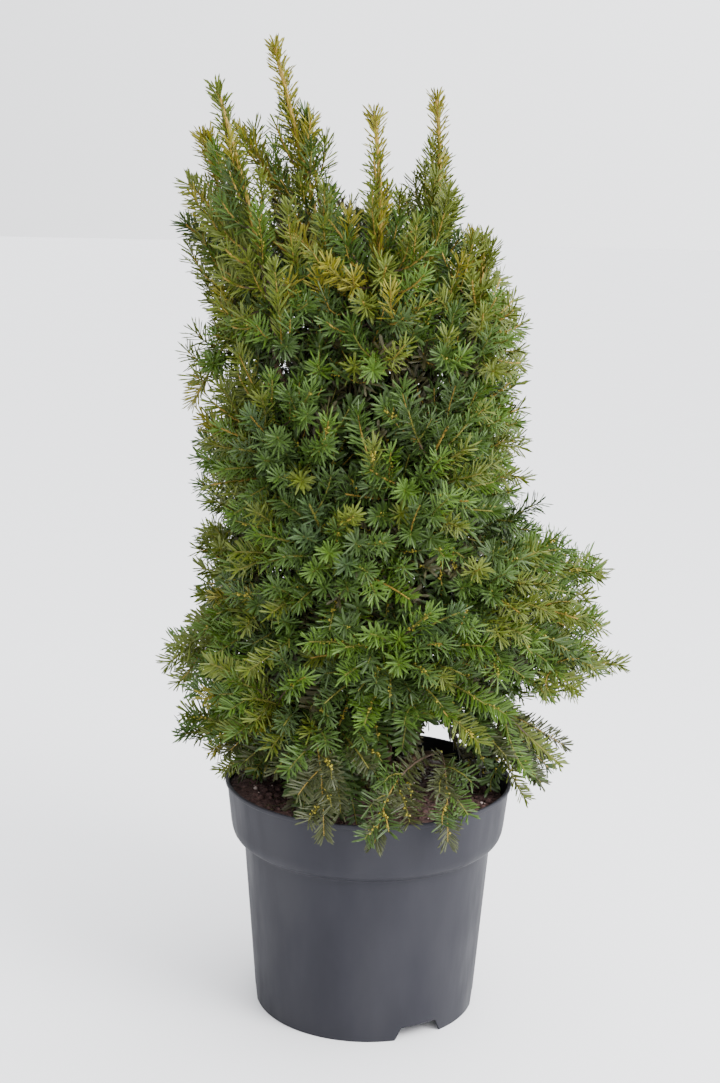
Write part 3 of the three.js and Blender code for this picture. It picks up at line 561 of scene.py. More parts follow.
def make_soil():
    rings = 64
    on_disc, on_floor = FLOOR + SOIL_GAP, CHANNEL_RISE + FLOOR + SOIL_GAP
    under = [
        (0, on_disc), (DISC_RADIUS - FLOOR - SOIL_GAP, on_disc),
        (DISC_RADIUS + CHANNEL_SLOPE - FLOOR - SOIL_GAP, on_floor),
        (pot_radius(on_floor) - WALL - SOIL_GAP, on_floor),
        (WAIST[0] - WALL - SOIL_GAP, WAIST[1] + WALL), (SOIL_RADIUS, COLLAR[1] + WALL)]
    over = [(SOIL_RADIUS * (1 - k / rings), SOIL_TOP) for k in range(rings)] + [(0, SOIL_TOP)]
    vertices, faces = lathe(under + over, segments=200)
    for k, (x, y, z) in enumerate(vertices):
        if z == SOIL_TOP:  # where it is banked up it also reaches out to the leaning wall
            wide = 1 + SOIL_BANK["widen"] * banked(x) * (math.hypot(x, y) / SOIL_RADIUS) ** 8
            vertices[k] = (x * wide, y * wide, soil_height(x, y))
    rng = random.Random(SEED)
    peat = soil_material()
    soil = piece("peat_soil", vertices, faces, peat, "soil")
    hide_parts("soil")
    scatter_lumps("peat_crumbs", peat, rng, **CRUMBS)
    grit = plain_material("grit", (0.5, 0.4, 0.36), (0.7, 0.95), 0.3, 400)
    scatter_lumps("grit_grains", grit, rng, **GRAINS)


# ---- limbs
def trunk_point(t):
    """The trunk's centre line: a Catmull-Rom curve through TRUNK_LINE."""
    line = [np.array(p, float) for p in TRUNK_LINE]
    line = [2 * line[0] - line[1], *line, 2 * line[-1] - line[-2]]
    spans = len(TRUNK_LINE) - 1
    k = min(int(t * spans), spans - 1)
    w = t * spans - k
    before, start, end, after = line[k:k + 4]
    leave, arrive = (end - before) / 2, (after - start) / 2
    return (start + leave * w + (3 * (end - start) - 2 * leave - arrive) * w ** 2
            + (2 * (start - end) + leave + arrive) * w ** 3)


def trunk_at(z):
    """The point of the trunk's centre line at a height."""
    low, high = 0.0, 1.0
    for _ in range(24):
        middle = (low + high) / 2
        if trunk_point(middle)[2] < z:
            low = middle
        else:
            high = middle
    return trunk_point(low)


def trunk_radius(z):
    foot, top = TRUNK_LINE[0][2], TRUNK_LINE[-1][2]
    return lerp(TRUNK_BASE, TRUNK_TIP, ramp(z, foot, top - foot))


def relief(angle, along, radius, seed):
    """Bark relief at a place on a limb, in millimetres: long flakes and cracks between them."""
    where = Vector((math.cos(angle) * 2.2, math.sin(angle) * 2.2, along / 14)) + Vector((seed * 9.7, 0, 0))
    flakes = noise.fractal(where, 0.9, 2.1, 5)
    return (abs(flakes) * 1.5 - 0.45) * 0.075 * radius + flakes * 0.1


def limb_mesh(centres, side, other, radii, seed):
    """Points and faces of a limb, from the radii of a ring round each centre and its two axes."""
    rings, sides = radii.shape
    vertices, faces, along = [], [], 0
    for k in range(rings):
        if k:
            along += np.linalg.norm(centres[k] - centres[k - 1])
        for s in range(sides):
            angle = 2 * math.pi * s / sides
            size = radii[k, s] + relief(angle, along, radii[k, s], seed)
            vertices.append(centres[k] + (side[k] * math.cos(angle) + other[k] * math.sin(angle)) * size)
    for k in range(rings - 1):
        for s in range(sides):
            t = (s + 1) % sides
            faces.append((k * sides + s, k * sides + t, (k + 1) * sides + t, (k + 1) * sides + s))
    faces.append(tuple(reversed(range(sides))))
    faces.append(tuple(range((rings - 1) * sides, rings * sides)))
    return vertices, faces


def make_trunk(bark):
    steps, sides = 150, 36
    centres = np.array([trunk_point(k / steps) for k in range(steps + 1)])
    heights = centres[:, 2]
    swell = FLARE * np.exp(-(heights - heights[0]) / FLARE_HEIGHT)
    base = np.array([trunk_radius(z) for z in heights]) * (1 + swell)
    lobes = LOBE_DEPTH * np.cos(FLARE_LOBES * 2 * math.pi * np.arange(sides) / sides)
    radii = base[:, None] * (1 + lobes * swell[:, None] / FLARE)
    axes = (np.tile(axis, (steps + 1, 1)) for axis in (vec(1, 0, 0), vec(0, 1, 0)))
    trunk = piece("trunk_bark", *limb_mesh(centres, *axes, radii, seed=1), bark, "bark")
    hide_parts("trunk")


def make_boughs(bark, plans):
    """One limb to each mass that has one, with a collar where it leaves the trunk."""
    t = np.linspace(0, 1, 36)
    collar = 1 + BOUGH_COLLAR[0] * np.exp(-t * BOUGH_COLLAR[1])
    points, faces = [], []
    for plan in plans:
        if plan.bough is None:
            continue
        side, other = frames(bezier_tangent(*plan.bough, t))
        sizes = lerp(trunk_radius(plan.bough_z) * BOUGH_SHARE, BOUGH_TIP, t) * collar
        radii = np.tile(sizes[:, None], (1, 12))
        more, quads = limb_mesh(bezier(*plan.bough, t), side, -other, radii, seed=plan.index + 5)
        faces += [tuple(v + len(points) for v in face) for face in quads]
        points += more
    boughs = piece("bough_bark", points, faces, bark, "bark")
    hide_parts(*[n for n in frame["nodes"] if n.startswith("bough_")])


# ---- the crown's spaces
AXIS = np.array([trunk_point(t) for t in np.linspace(0, 1, 30)])


def outline_reach(p):
    """How much further out the crown's outline lies than each point."""
    p = np.atleast_2d(p)
    z = p[:, 2]
    right, back, left, front = (np.interp(z, CROWN[:, 0], CROWN[:, k]) for k in range(1, 5))
    rx = np.where(p[:, 0] > 0, right, left)
    ry = np.where(p[:, 1] > 0, back, front)
    r = np.maximum(np.hypot(p[:, 0], p[:, 1]), 1e-6)
    share = np.maximum(np.hypot(p[:, 0] / rx, p[:, 1] / ry), 1e-6)
    return np.where(z > CROWN[-1, 0], -r, r / share - r)


def crown_surface(angle, z):
    """The point of the crown's outline in a direction from the pot's axis, at a height."""
    direction = vec(math.cos(angle), math.sin(angle), 0)
    return vec(0, 0, z) + direction * (outline_reach(direction + vec(0, 0, z))[0] + 1)


def off_pot(p, margin):
    """Whether points are above the pot, outside it, or inside it and over the soil."""
    p = np.atleast_2d(p)
    r = np.hypot(p[:, 0], p[:, 1])
    above = p[:, 2] > POT_HEIGHT + margin
    inside = (p[:, 2] > SOIL_TOP + 4) & (r < COLLAR[0] - WALL - margin)
    return above | inside | (r > LIP_RADIUS + margin)


def is_clear(p, margin=4):
    """Whether points are off the pot and its soil, and out of the clearings."""
    p = np.atleast_2d(p)
    clear = off_pot(p, margin)
    for start, end, radius in CLEARINGS:
        way = end - start
        share = np.clip((p - start) @ way / (way @ way), 0, 1)
        clear &= np.linalg.norm(p - start - share[:, None] * way, axis=1) > radius
    return clear


def depth_in_cell(p, plan):
    """How far points lie inside what is nearer this mass's centre than any other's."""
    p = np.atleast_2d(p)
    apart = np.linalg.norm(plan.others - plan.centre, axis=1)
    mine = ((p - plan.centre) ** 2).sum(1)[:, None]
    theirs = ((p[:, None, :] - plan.others[None]) ** 2).sum(2)
    return ((theirs - mine) / (2 * apart)).min(1)


def level_at(line, z):
    """Where a line that climbs is at some heights, seen from above."""
    return np.stack([np.interp(z, line[:, 2], line[:, k]) for k in (0, 1)], 1)


def spire_room(p, plan):
    """How far points lie inside the cone that a leader's side shoots fill above the crown."""
    axis = level_at(bezier(*plan.stem, np.linspace(0, 1, 40)), p[:, 2])
    below = plan.lead[2] - p[:, 2]
    room = np.minimum(SPIRE["tip"] + SPIRE["taper"] * below, SPIRE["most"])
    return np.where(below > 0, room, -1) - np.hypot(*(p[:, :2] - axis).T)


def room_at(p, plan):
    """How far points lie inside the crown's outline or, on a leader, its spire."""
    p = np.atleast_2d(p)
    reach = outline_reach(p)
    return np.maximum(reach, spire_room(p, plan)) if plan.upright and plan.stem else reach


def outward_at(p):
    """Level directions away from the middle of the crown."""
    p = np.atleast_2d(p)
    level = np.zeros_like(p)
    level[:, :2] = p[:, :2] - level_at(AXIS, p[:, 2])
    return unit(level)


def rise_at(z):
    return np.interp(z, GROWTH_RISE[:, 0], GROWTH_RISE[:, 1])


def growth_at(p):
    """The way that new growth points."""
    return unit(outward_at(p) + rise_at(np.atleast_2d(p)[:, 2])[:, None] * vec(0, 0, 1))


def light_at(p):
    """The way that the upper side of a spray faces."""
    return unit(outward_at(p) * LIGHT[0] + vec(0, -LIGHT[1], LIGHT[2]))


def free_length(foot, direction, plan, furthest, cell_margin, outline_margin):
    """How far a straight twig can grow in its mass's space."""
    steps = np.arange(0, furthest + 4, 4.0)
    p = foot + direction * steps[:, None]
    free = (room_at(p, plan) > outline_margin) & (depth_in_cell(p, plan) > cell_margin)
    free &= is_clear(p)
    blocked = np.flatnonzero(~free)
    return steps[-1] if not len(blocked) else max(0.0, steps[blocked[0]] - 4)


# ---- masses
@dataclass
class Mass:
    """A mass of foliage, or a leader with what grows on it."""
    index: int
    bough_z: float  # where its bough leaves the trunk, if it has one
    root: np.ndarray
    centre: np.ndarray
    lead: np.ndarray
    slopes: tuple  # of its lowest and highest twigs, in degrees
    fan: float  # how far round they turn from straight outward, in degrees
    upright: bool
    bow: tuple = (0, 0)
    bough: tuple = None
    stem: tuple = None
    outward: np.ndarray = None
    others: np.ndarray = None  # centres of the other masses


STEM, TWIG, SIDE = RANKS = range(3)


@dataclass
class Shoot:
    """A stem, a twig on it, or a side shoot of that."""
    curve: tuple
    foot: float  # radius there
    tip: float  # radius there
    leafy: float  # length of its needled end
    rank: int
    mass: Mass
    stray: bool = False
    inner: bool = False
    tone: str = ""
    bark: str = ""

    @property
    def leader(self):
        return self.rank == STEM and self.mass.upright

    def points(self, t):
        return bezier(*self.curve, t)

    def frame_at(self, t):
        """Points, directions, sideways directions and those nearest the light, at places t."""
        t = np.atleast_1d(t)
        points = self.points(t)
        tangents = bezier_tangent(*self.curve, t)
        return (points, tangents, *frames(tangents, light_at(points)))

    def length(self):
        p = self.points(np.linspace(0, 1, 9))
        return float(np.linalg.norm(np.diff(p, axis=0), axis=1).sum())

    def facing(self):
        """How nearly it points at the light, from 0 to 1: such a shoot has needles all round."""
        way = unit(self.curve[2] - self.curve[1])
        if self.mass.upright and way[2] > 0.8:
            return 1.0
        return float(abs(way @ light_at(self.points(0.7))[0]))


def side_mass(index):
    """One of the masses round the trunk, on a spiral that climbs by the golden angle."""
    share = index / (SIDE_COUNT - 1)

    def between(key):
        return lerp(*SPIRAL[key], share)
    angle = math.radians(SPIRAL["angle"]) + index * GOLDEN_ANGLE
    centre_z = between("centre_z")

    def part(z, reach):
        return lerp(trunk_at(z), crown_surface(angle, z), reach)
    return Mass(
        index, between("bough_z"), part(centre_z - between("root_drop"), ROOT_SHARE),
        part(centre_z, CENTRE_SHARE), part(centre_z + between("lead_rise"), LEAD_SHARE),
        (between("low_slope"), between("high_slope")), SPIRAL["fan"], upright=False)


def plume_mass(index, name, bough_z, root, centre, tip):
    """A leader: one without a bough grows on from the trunk's tip."""
    root = vec(*root) if root else trunk_point(1.0)
    bow = LEADER_BOW.get(name, (0, 0))
    return Mass(index, bough_z, root, vec(*centre), vec(*tip), PLUME_SLOPES, PLUME_FAN, True, bow)


def plan_masses():
    """All masses with their boughs and stems."""
    plans = [side_mass(k) for k in range(SIDE_COUNT)]
    plans += [plume_mass(SIDE_COUNT + k, *plume) for k, plume in enumerate(PLUMES)]
    centres = np.array([plan.centre for plan in plans])
    for plan in plans:
        plan.others = np.delete(centres, plan.index, axis=0)
        if plan.bough_z is not None:
            while depth_in_cell(plan.root, plan)[0] < ROOT_DEPTH:
                plan.root = lerp(plan.root, plan.centre, 0.1)
            foot = trunk_at(plan.bough_z)
            chord = plan.root - foot
            level = chord * vec(1, 1, 0)
            middle = foot + chord * 0.5 + level * BOUGH_BOW
            middle[2] -= BOUGH_BOW * 0.5 * np.linalg.norm(level)
            plan.bough = (foot, middle, plan.root)
        if not plan.upright:
            way = plan.lead - plan.centre
            free = free_length(plan.centre, unit(way), plan, np.linalg.norm(way), *LEAD_MARGINS)
            plan.lead = plan.centre + unit(way) * free
        bend = 2 * plan.centre - (plan.root + plan.lead) / 2
        if plan.upright:
            bend = lerp(plan.root, plan.lead, LEADER_BEND) + vec(*plan.bow, 0)
        plan.stem = (plan.root, bend, plan.lead)
        plan.outward = unit((plan.centre - trunk_at(plan.centre[2])) * vec(1, 1, 0))
    return plans


# ---- twigs and shoots
def ragged(p):
    """How far inside the outline shoots stop near a place."""
    return RAGGED * ramp(noise.noise(Vector(p) / RAGGED_PATCH), -0.5, 1)


def fits(shoot):
    """A shoot keeps to the outline and, but for a little mingling, to its mass's space."""
    p = shoot.points(np.linspace(0.25, 1, 6))
    inside = is_clear(p)
    if not shoot.stray:
        inside &= room_at(p, shoot.mass) > ragged(p[-1])
        inside &= depth_in_cell(p, shoot.mass) > -CELL_OVERLAP
    return bool(inside.all())


def stray_shoots(plan, strays):
    """Twigs to a mass's stray tips: those that end below the rim droop over it."""
    grown = []
    foot = bezier(*plan.stem, STRAY["plume" if plan.upright else "side"])
    for tip in strays:
        if tip[2] < POT_HEIGHT:
            bend = lerp(foot, tip, STRAY["droop"])
            bend[2] = foot[2] + STRAY["droop_rise"]
            thick = DROOP_THICK
        else:
            bend = lerp(foot, tip, STRAY["bend"])
            bend[2] += STRAY["lift"]
            thick = STRAY_THICK
        grown.append(Shoot((foot, bend, tip), *thick, STRAY_LEAFY, TWIG, plan, stray=True))
    return grown


def stem_twigs(plan, tips, rng):
    """Side twigs fan out from the stem, the lowest most level and the highest steepest."""
    grown = []
    across = vec(-plan.outward[1], plan.outward[0], 0)
    phase = rng.random()
    highest = LEADER_TWIG_TO if plan.upright else TWIG_TO
    for i in range(TWIG_TRIES):
        share = (i + 0.5) / TWIG_TRIES
        foot = bezier(*plan.stem, lerp(TWIG_FROM, highest, share))
        turn = math.radians(plan.fan * (2 * ((phase + i * GOLDEN_RATIO) % 1) - 1))
        slope = math.radians(lerp(*plan.slopes, share) + rng.uniform(-8, 8))
        level = plan.outward * math.cos(turn) + across * math.sin(turn)
        direction = level * math.cos(slope) + vec(0, 0, math.sin(slope))
        length = free_length(
            foot, direction, plan, LONGEST_TWIG, -CELL_OVERLAP / 2, ragged(foot * 2 + direction))
        length *= rng.uniform(0.88, 1)
        if length < SHORTEST_TWIG:
            continue
        tip = foot + direction * length
        if any(np.linalg.norm(tip - other) < TIP_SPACING for other in tips):
            continue
        tips.append(tip)
        # it arches over low down and turns up at the top
        arch = TWIG_ARCH * min(1, max(-2, 0.5 - rise_at(tip[2])))
        bend = lerp(foot, tip, 0.5) + vec(0, 0, length * arch)
        grown.append(Shoot((foot, bend, tip), *TWIG_THICK, TWIG_LEAFY, TWIG, plan))
    return grown


def side_shoots(parent, tips, rng):
    """Shoots to both sides of a twig, or all round one that points at the light."""
    grown = []
    length = parent.length()
    shortest, longest = SHOOT_LENGTH
    first, bare_end = LEADER_SHOOTS if parent.leader else TWIG_SHOOTS
    last = 1 - bare_end / length
    count = int(length * (last - first) / SHOOT_STEP)
    around = parent.facing() > 0.75
    turn = rng.uniform(0, 2 * math.pi)
    for k in range(count):
        t = lerp(first, last, (k + rng.random() * 0.6) / count)
        foot, tangent, side, upper = (row[0] for row in parent.frame_at(t))
        if around:
            turn += GOLDEN_ANGLE
            out = side * math.cos(turn) + upper * math.sin(turn)
        else:
            tilt = rng.uniform(-0.35, 0.9)
            out = side * math.cos(tilt) * (1 if k % 2 else -1) + upper * math.sin(tilt)
        if parent.leader:
            angle = math.radians(rng.uniform(*LEADER_ANGLES))
        else:
            angle = math.radians(SHOOT_ANGLE) * rng.uniform(0.8, 1.2)
        remains = (1 - t) * length
        reach = min(longest, shortest * 0.6 + remains * 0.6) * rng.uniform(0.75, 1.1)
        reach = max(reach, shortest * 0.75) * (0.7 if parent.stray else 1)
        start = tangent * math.cos(angle) + out * math.sin(angle)
        way = unit(start + growth_at(foot)[0] * (1.0 if parent.mass.upright else 0.6))
        for shrink in (1, 0.75, 0.55):
            tip = foot + way * reach * shrink
            bend = foot + start * reach * shrink * 0.5
            shoot = Shoot(
                (foot, bend, tip), *SHOOT_THICK, SHOOT_LEAFY, SIDE, parent.mass, parent.stray)
            if fits(shoot):
                if all(np.linalg.norm(tip - other) > SHOOT_SPACING for other in tips):
                    tips.append(tip)
                    grown.append(shoot)
                break
    return grown


def spread_places(rng, spacing, margin_of, shell):
    """Places spread evenly, in a random order, in a shell that starts margin_of inside the outline."""
    low, high = PLACES_BOX
    p = low + rng.random((PLACES_TRIED, 3)) * (high - low)
    p = p[is_clear(p, margin=8)]
    margin = np.array([margin_of(q) for q in p])
    reach = outline_reach(p)
    top = outline_reach(p + vec(0, 0, shell)) < margin
    p = p[(reach > margin) & ((reach < margin + shell) | top)]
    taken, spread = {}, []
    for q in p:
        i, j, k = (q // spacing).astype(int)
        boxes = itertools.product((i - 1, i, i + 1), (j - 1, j, j + 1), (k - 1, k, k + 1))
        near = [other for box in boxes for other in taken.get(box, ())]
        if all(np.linalg.norm(q - other) > spacing for other in near):
            taken.setdefault((i, j, k), []).append(q)
            spread.append(q)
    return np.array(spread)


def best_foot(place, growth, climb, feet, homes, rule):
    """Where a shoot to a place best starts, how far off, and on which mass, if anywhere.

    The cost is its length and the turn that it makes, and the turn counts more high up.
    """
    best = (REACH_COST,)
    for home in homes:
        way = place - feet[home]
        far = np.linalg.norm(way, axis=1)
        cost = far * (1 - 0.7 * climb) + (55 + 100 * climb) * (1 - way @ growth / far)
        cost[far < rule["nearest"]] += 1000
        k = int(np.argmin(cost))
        if far[k] < rule["furthest"] and cost[k] < best[0]:
            best = cost[k], feet[home][k], far[k], home
    return best[1:]


def reaching_shoots(plans, shoots, places, rule):
    """Shoots that grow to places with room left, each from the best placed twig."""
    centres = np.array([plan.centre for plan in plans])
    inner = rule is INNER
    tips = np.array([shoot.curve[2] for shoot in shoots])
    feet = [np.concatenate([
        shoot.points(np.linspace(0.12, 0.9, 9)) for shoot in shoots
        if shoot.mass is plan and shoot.rank < SIDE and not shoot.stray]) for plan in plans]
    grown = []
    rng = random.Random(SEED + 5)
    for place in places:
        if (np.linalg.norm(tips - place, axis=1) < rule["room"]).any():
            continue
        climb = 0 if inner else ramp(place[2], *CLIMB)
        sparse = ramp(place[0], *SPARSE) if inner else 0
        if rng.random() < 0.3 * climb + 0.5 * sparse:
            continue
        homes = np.argsort(np.linalg.norm(centres - place, axis=1))[:2]
        growth = growth_at(place)[0]
        start = best_foot(place, growth, climb, feet, homes, rule)
        if not start:
            continue
        foot, far, home = start
        bend = lerp(lerp(foot, place, 0.5), place - growth * far * 0.5, 0.55 + 0.35 * climb)
        rank, thick = (TWIG, REACH_THICK) if far > TWIG_REACH else (SIDE, SHOOT_THICK)
        leafy = lerp(SHOOT_LEAFY, CLIMB_LEAFY, climb)
        shoot = Shoot((foot, bend, place), *thick, leafy, rank, plans[home], inner=inner)
        if is_clear(shoot.points(np.linspace(0, 1, 9))).all():
            grown.append(shoot)
    return grown


def tone_of(shoot, rng):
    """Deals a colour to a spray: golden at the top left, deep green in the middle, brown low inside, and
    lighter olive and fresh green at the left and right edges, which is partly the shoots' own colour and
    partly painted light.
    """
    if shoot.leader:
        return "gold" if rng.random() < 0.35 else "olive"
    depth = room_at(shoot.points(0.8), shoot.mass)[0]
    if shoot.inner:
        return "old" if rng.random() < 0.08 + 0.6 * ramp(depth, 42, 40) else "deep"
    x, _, z = shoot.curve[2]
    high = ramp(z, 640, 150)
    left = ramp(x, 40, -150)
    # sides to the left and right seen from the front: the lighter olive and fresh tones dealt there are
    # partly the shoots' own colour and partly painted light
    edge = ramp(abs(x), 70, 80)
    low = ramp(z, 300, -90)
    if low and not edge:
        low = min(1, low + 0.3)
    weights = {
        "gold": 0.01 + 0.45 * high * (0.15 + 0.85 * left) + 0.12 * edge * left,
        "olive": 0.15 * (1 - low) + 1.1 * high + 1.15 * edge,
        "fresh": (0.34 * (1 - 0.5 * low) + 0.35 * edge) * (1 - 0.75 * high),
        "green": 0.75 * (1 - 0.85 * high) * (1 - 0.5 * edge),
        "deep": 0.34 * (1 - 0.8 * high) * (1 - 0.8 * edge),
        # the bluish tone is a painted sky reflection, dealt out less at the top and at the edges
        "painted_sheen_blue": 0.16 * (1 - 0.9 * max(high, edge)),
        "drab": 2.5 * low * (1 - 0.7 * edge),
        "old": 2.2 * ramp(depth, 55, 30),
    }
    pick = rng.random() * sum(weights.values())
    for tone, weight in weights.items():
        pick -= weight
        if pick <= 0:
            return tone
    return "green"


def bark_of(shoot, rng):
    """Young bark is golden on leaders and on the sunny side, and green elsewhere."""
    x, _, z = shoot.curve[2]
    high = ramp(z, 560, 180)
    likely = 0.08 + 0.9 * high + 0.12 * ramp(abs(x), 120, 80)
    if high and (shoot.rank == STEM or shoot.stray):
        likely = 1
    return "golden" if rng.random() < likely else "green"


def stem_of(plan):
    """The limb that a mass's twigs grow on: a leader's ends in a tuft of needles."""
    root, bend, lead = plan.stem
    thick = STEM_THICK
    if plan.upright:
        lead = lead - vec(0, 0, LEADER_TUFT)
        thick = LEADER_THICK
    return Shoot((root, bend, lead), *thick, LEADER_LEAFY, STEM, plan)


def grow_mass(plan, strays):
    """A mass's stem, its strays and twigs, and the side shoots of them all."""
    rng = random.Random(SEED * 1000 + plan.index * 7919)
    tips = [plan.lead]
    twigs = [stem_of(plan), *stray_shoots(plan, strays), *stem_twigs(plan, tips, rng)]
    return twigs + [shoot for twig in twigs for shoot in side_shoots(twig, tips, rng)]


def grow_crown(plans):
    """All shoots: first those of each mass, then some that fill the outline and the inside."""
    strays = np.array(STRAY_TIPS, float)
    centres = np.array([plan.centre for plan in plans])
    homes = np.array([np.argmin(np.linalg.norm(centres - tip, axis=1)) for tip in strays])
    shoots = []
    for plan in plans:
        shoots += grow_mass(plan, strays[homes == plan.index])
    places = spread_places(np.random.default_rng(SEED + 2), REACH["spacing"], ragged, REACH["shell"])
    places = np.concatenate([np.array(SPRAY_TIPS, float), places])
    shoots += reaching_shoots(plans, shoots, places, REACH)
    places = spread_places(
        np.random.default_rng(SEED + 4), INNER["spacing"], lambda p: INNER["from"],
        INNER["to"] - INNER["from"])
    shoots += reaching_shoots(plans, shoots, places, INNER)
    rng = random.Random(SEED + 3)
    for shoot in shoots:
        shoot.tone = tone_of(shoot, rng)
        shoot.bark = bark_of(shoot, rng)
    return shoots


# ---- twig, needle and bud meshes
def tube_faces(sections, sides):
    """Triangles of a tube closed at its foot, and drawn to a point at its other end."""
    faces = []
    for k in range(sections - 1):
        for s in range(sides):
            a, b = k * sides + s, k * sides + (s + 1) % sides
            c, d = b + sides, a + sides
            faces += [(a, b, c), (a, c, d)]
    last, tip = (sections - 1) * sides, sections * sides
    faces += [(last + s, last + (s + 1) % sides, tip) for s in range(sides)]
    faces += [(0, s + 1, s) for s in range(1, sides - 1)]
    return np.array(faces)


def tubes(shoots, from_to, sections, sides):
    """Thin tubes along a stretch of each shoot."""
    t = np.linspace(*from_to, sections)
    ring = np.arange(sides) * 2 * math.pi / sides
    faces = tube_faces(sections, sides)
    parts = []
    for shoot in shoots:
        centres = shoot.points(t)
        tangents = bezier_tangent(*shoot.curve, t)
        side, upper = frames(tangents)
        radius = lerp(shoot.foot, shoot.tip, t)[:, None, None]
        around = side[:, None] * np.cos(ring)[None, :, None] - upper[:, None] * np.sin(ring)[None, :, None]
        rings = centres[:, None] + around * radius
        end_point = centres[-1] + tangents[-1] * shoot.tip
        parts.append((np.concatenate([rings.reshape(-1, 3), end_point[None]]), faces))
    return join(parts)


def needle_ways(shoot, place, tangent, side, upper, rng):
    """Direction and upper face of needles: in two ranks, or round a shoot that faces the light."""
    count = len(place)
    share_round = ramp(shoot.facing(), 0.4, 0.4)
    order = np.arange(count)
    lift = np.radians(rng.uniform(*NEEDLE_LIFT, count))
    angle = np.where(order % 2, lift, math.pi - lift)
    lean = np.radians(rng.uniform(*NEEDLE_LEAN, count))
    around = rng.random(count) < share_round
    angle = np.where(around, order * GOLDEN_ANGLE, angle)
    climb = np.clip(tangent[:, 2] * 2 - 1, 0, 1)  # pressed nearer to a shoot that climbs
    lean = np.where(around, np.radians(rng.uniform(*ROUND_LEAN, count) - 14 * climb), lean)
    lean *= lerp(1, 0.8 if shoot.leader else 0.55, np.clip((place - 0.9) / 0.1, 0, 1))
    out = side * np.cos(angle)[:, None] + upper * np.sin(angle)[:, None]
    direction = tangent * np.cos(lean)[:, None] + out * np.sin(lean)[:, None]
    direction = unit(direction + rng.normal(0, 0.1, (count, 3)))
    face = np.where(around[:, None], tangent, upper)
    face = unit(face - direction * (face * direction).sum(1, keepdims=True))
    across = np.cross(direction, face)
    # needles round an upright shoot are twisted every way
    roll = (rng.normal(0, 1, count) * np.where(around, lerp(0.4, 0.9, tangent[:, 2] ** 2), 0.45))[:, None]
    return direction, face * np.cos(roll) + across * np.sin(roll)


def needle_rows(shoot, rng):
    """Foot, direction, upper face, length and width of each needle of a shoot, or None."""
    length = shoot.length()
    leafy = min(shoot.leafy, length * 0.94)
    step = LEADER_STEP if shoot.leader else INNER_STEP if shoot.inner else NEEDLE_STEP
    count = int(leafy / step)
    if count < FEWEST_NEEDLES:
        return None
    place = 1 - (1 - (np.arange(count) + rng.random(count) * 0.5) / count) ** 1.25
    t = 1 - (leafy / length) * (1 - place)
    foot, *axes = shoot.frame_at(t)
    direction, face = needle_ways(shoot, place, *axes, rng)
    size = rng.uniform(*NEEDLE_LENGTH, count) * (0.76 + 0.24 * np.sin(math.pi * (0.12 + 0.78 * place)))
    if shoot.leader:
        size *= lerp(0.86, 1.04, place)
    if shoot.stray:
        size *= 1.12
    if shoot.curve[2][2] < LOW_NEEDLES[0]:
        size *= LOW_NEEDLES[1]
    depth = room_at(foot, shoot.mass)
    keep = (depth < BARE_DEPTH) | (rng.random(count) < (1 if shoot.inner else 0.3))
    keep &= is_clear(foot, margin=1)
    if shoot.leader:  # a tuft at the tip and a thinner stretch below it
        below = (1 - t) * length
        keep &= rng.random(count) < np.interp(below, *LEADER_COVER)
    for share in (0.5, 1):
        keep &= off_pot(foot + direction * size[:, None] * share, margin=1)
    width = (INNER_WIDTH if shoot.inner else NEEDLE_WIDTH) * rng.uniform(0.85, 1.15, count)
    return foot[keep], direction[keep], face[keep], size[keep], width[keep]


NEEDLE_FACES = np.array([(0, 1, 4), (1, 3, 4), (0, 4, 2), (2, 4, 5), (4, 3, 5)])


def needle_mesh(foot, direction, face, length, width, rng):
    """Blades with a narrow foot, nearly parallel sides, a low ridge above and a sharp tip."""
    across = np.cross(direction, face)
    count = len(foot)
    length, half = length[:, None], width[:, None] / 2
    bow = rng.normal(0.05, 0.05, count)[:, None] * length
    swing = rng.normal(0, 0.05, count)[:, None] * length
    far = foot + direction * length * 0.82 + face * bow * 0.5 + across * swing * 0.5
    points = np.stack([
        foot - across * half * 0.6, foot + across * half * 0.6,
        far - across * half, far + across * half, far + face * NEEDLE_THICK,
        foot + direction * length + face * bow + across * swing,
    ], axis=1)
    faces = NEEDLE_FACES[None] + (np.arange(count) * 6)[:, None, None]
    return points.reshape(-1, 3), faces.reshape(-1, 3)


def fallen_needles(rng, count, length, width):
    """Rows like needle_rows for old needles that lie on the soil."""
    r = (SOIL_RADIUS - 12) * np.sqrt(rng.random(count))
    angle = rng.uniform(0, 2 * math.pi, count)
    foot = np.stack([r * np.cos(angle), r * np.sin(angle), np.zeros(count)], 1)
    foot[:, 2] = [soil_height(x, y) + 1.2 for x, y, _ in foot]
    turn = rng.uniform(0, 2 * math.pi, count)
    direction = unit(np.stack([np.cos(turn), np.sin(turn), rng.normal(0, 0.08, count)], 1))
    face = unit(np.cross(direction, np.cross(vec(0, 0, 1), direction)))
    keep = np.hypot(*(foot + direction * 20)[:, :2].T) < SOIL_RADIUS - 3
    sizes = (np.full(keep.sum(), size) for size in (length, width))
    return foot[keep], direction[keep], face[keep], *sizes


def make_needles(shoots):
    rng = np.random.default_rng(SEED)
    rows = {tone: [] for tone in NEEDLE_TONES}
    for shoot in shoots:
        row = needle_rows(shoot, rng)
        if row is not None and len(row[0]):
            rows[shoot.tone].append(row)
    rows["old"].append(fallen_needles(rng, **FALLEN))
    for tone, parts in rows.items():
        material = plain_material(f"needle_{tone}", NEEDLE_TONES[tone], (0.38, 0.58), 0.33)
        joined = [np.concatenate(column) for column in zip(*parts)]
        for k in range(0, len(joined[0]), NEEDLES_IN_PIECE):
            chunk = [column[k:k + NEEDLES_IN_PIECE] for column in joined]
            points, faces = needle_mesh(*chunk, rng)
            name = f"needles_{tone}_{k // NEEDLES_IN_PIECE + 1}"
            piece(name, points, faces, material, "foliage")


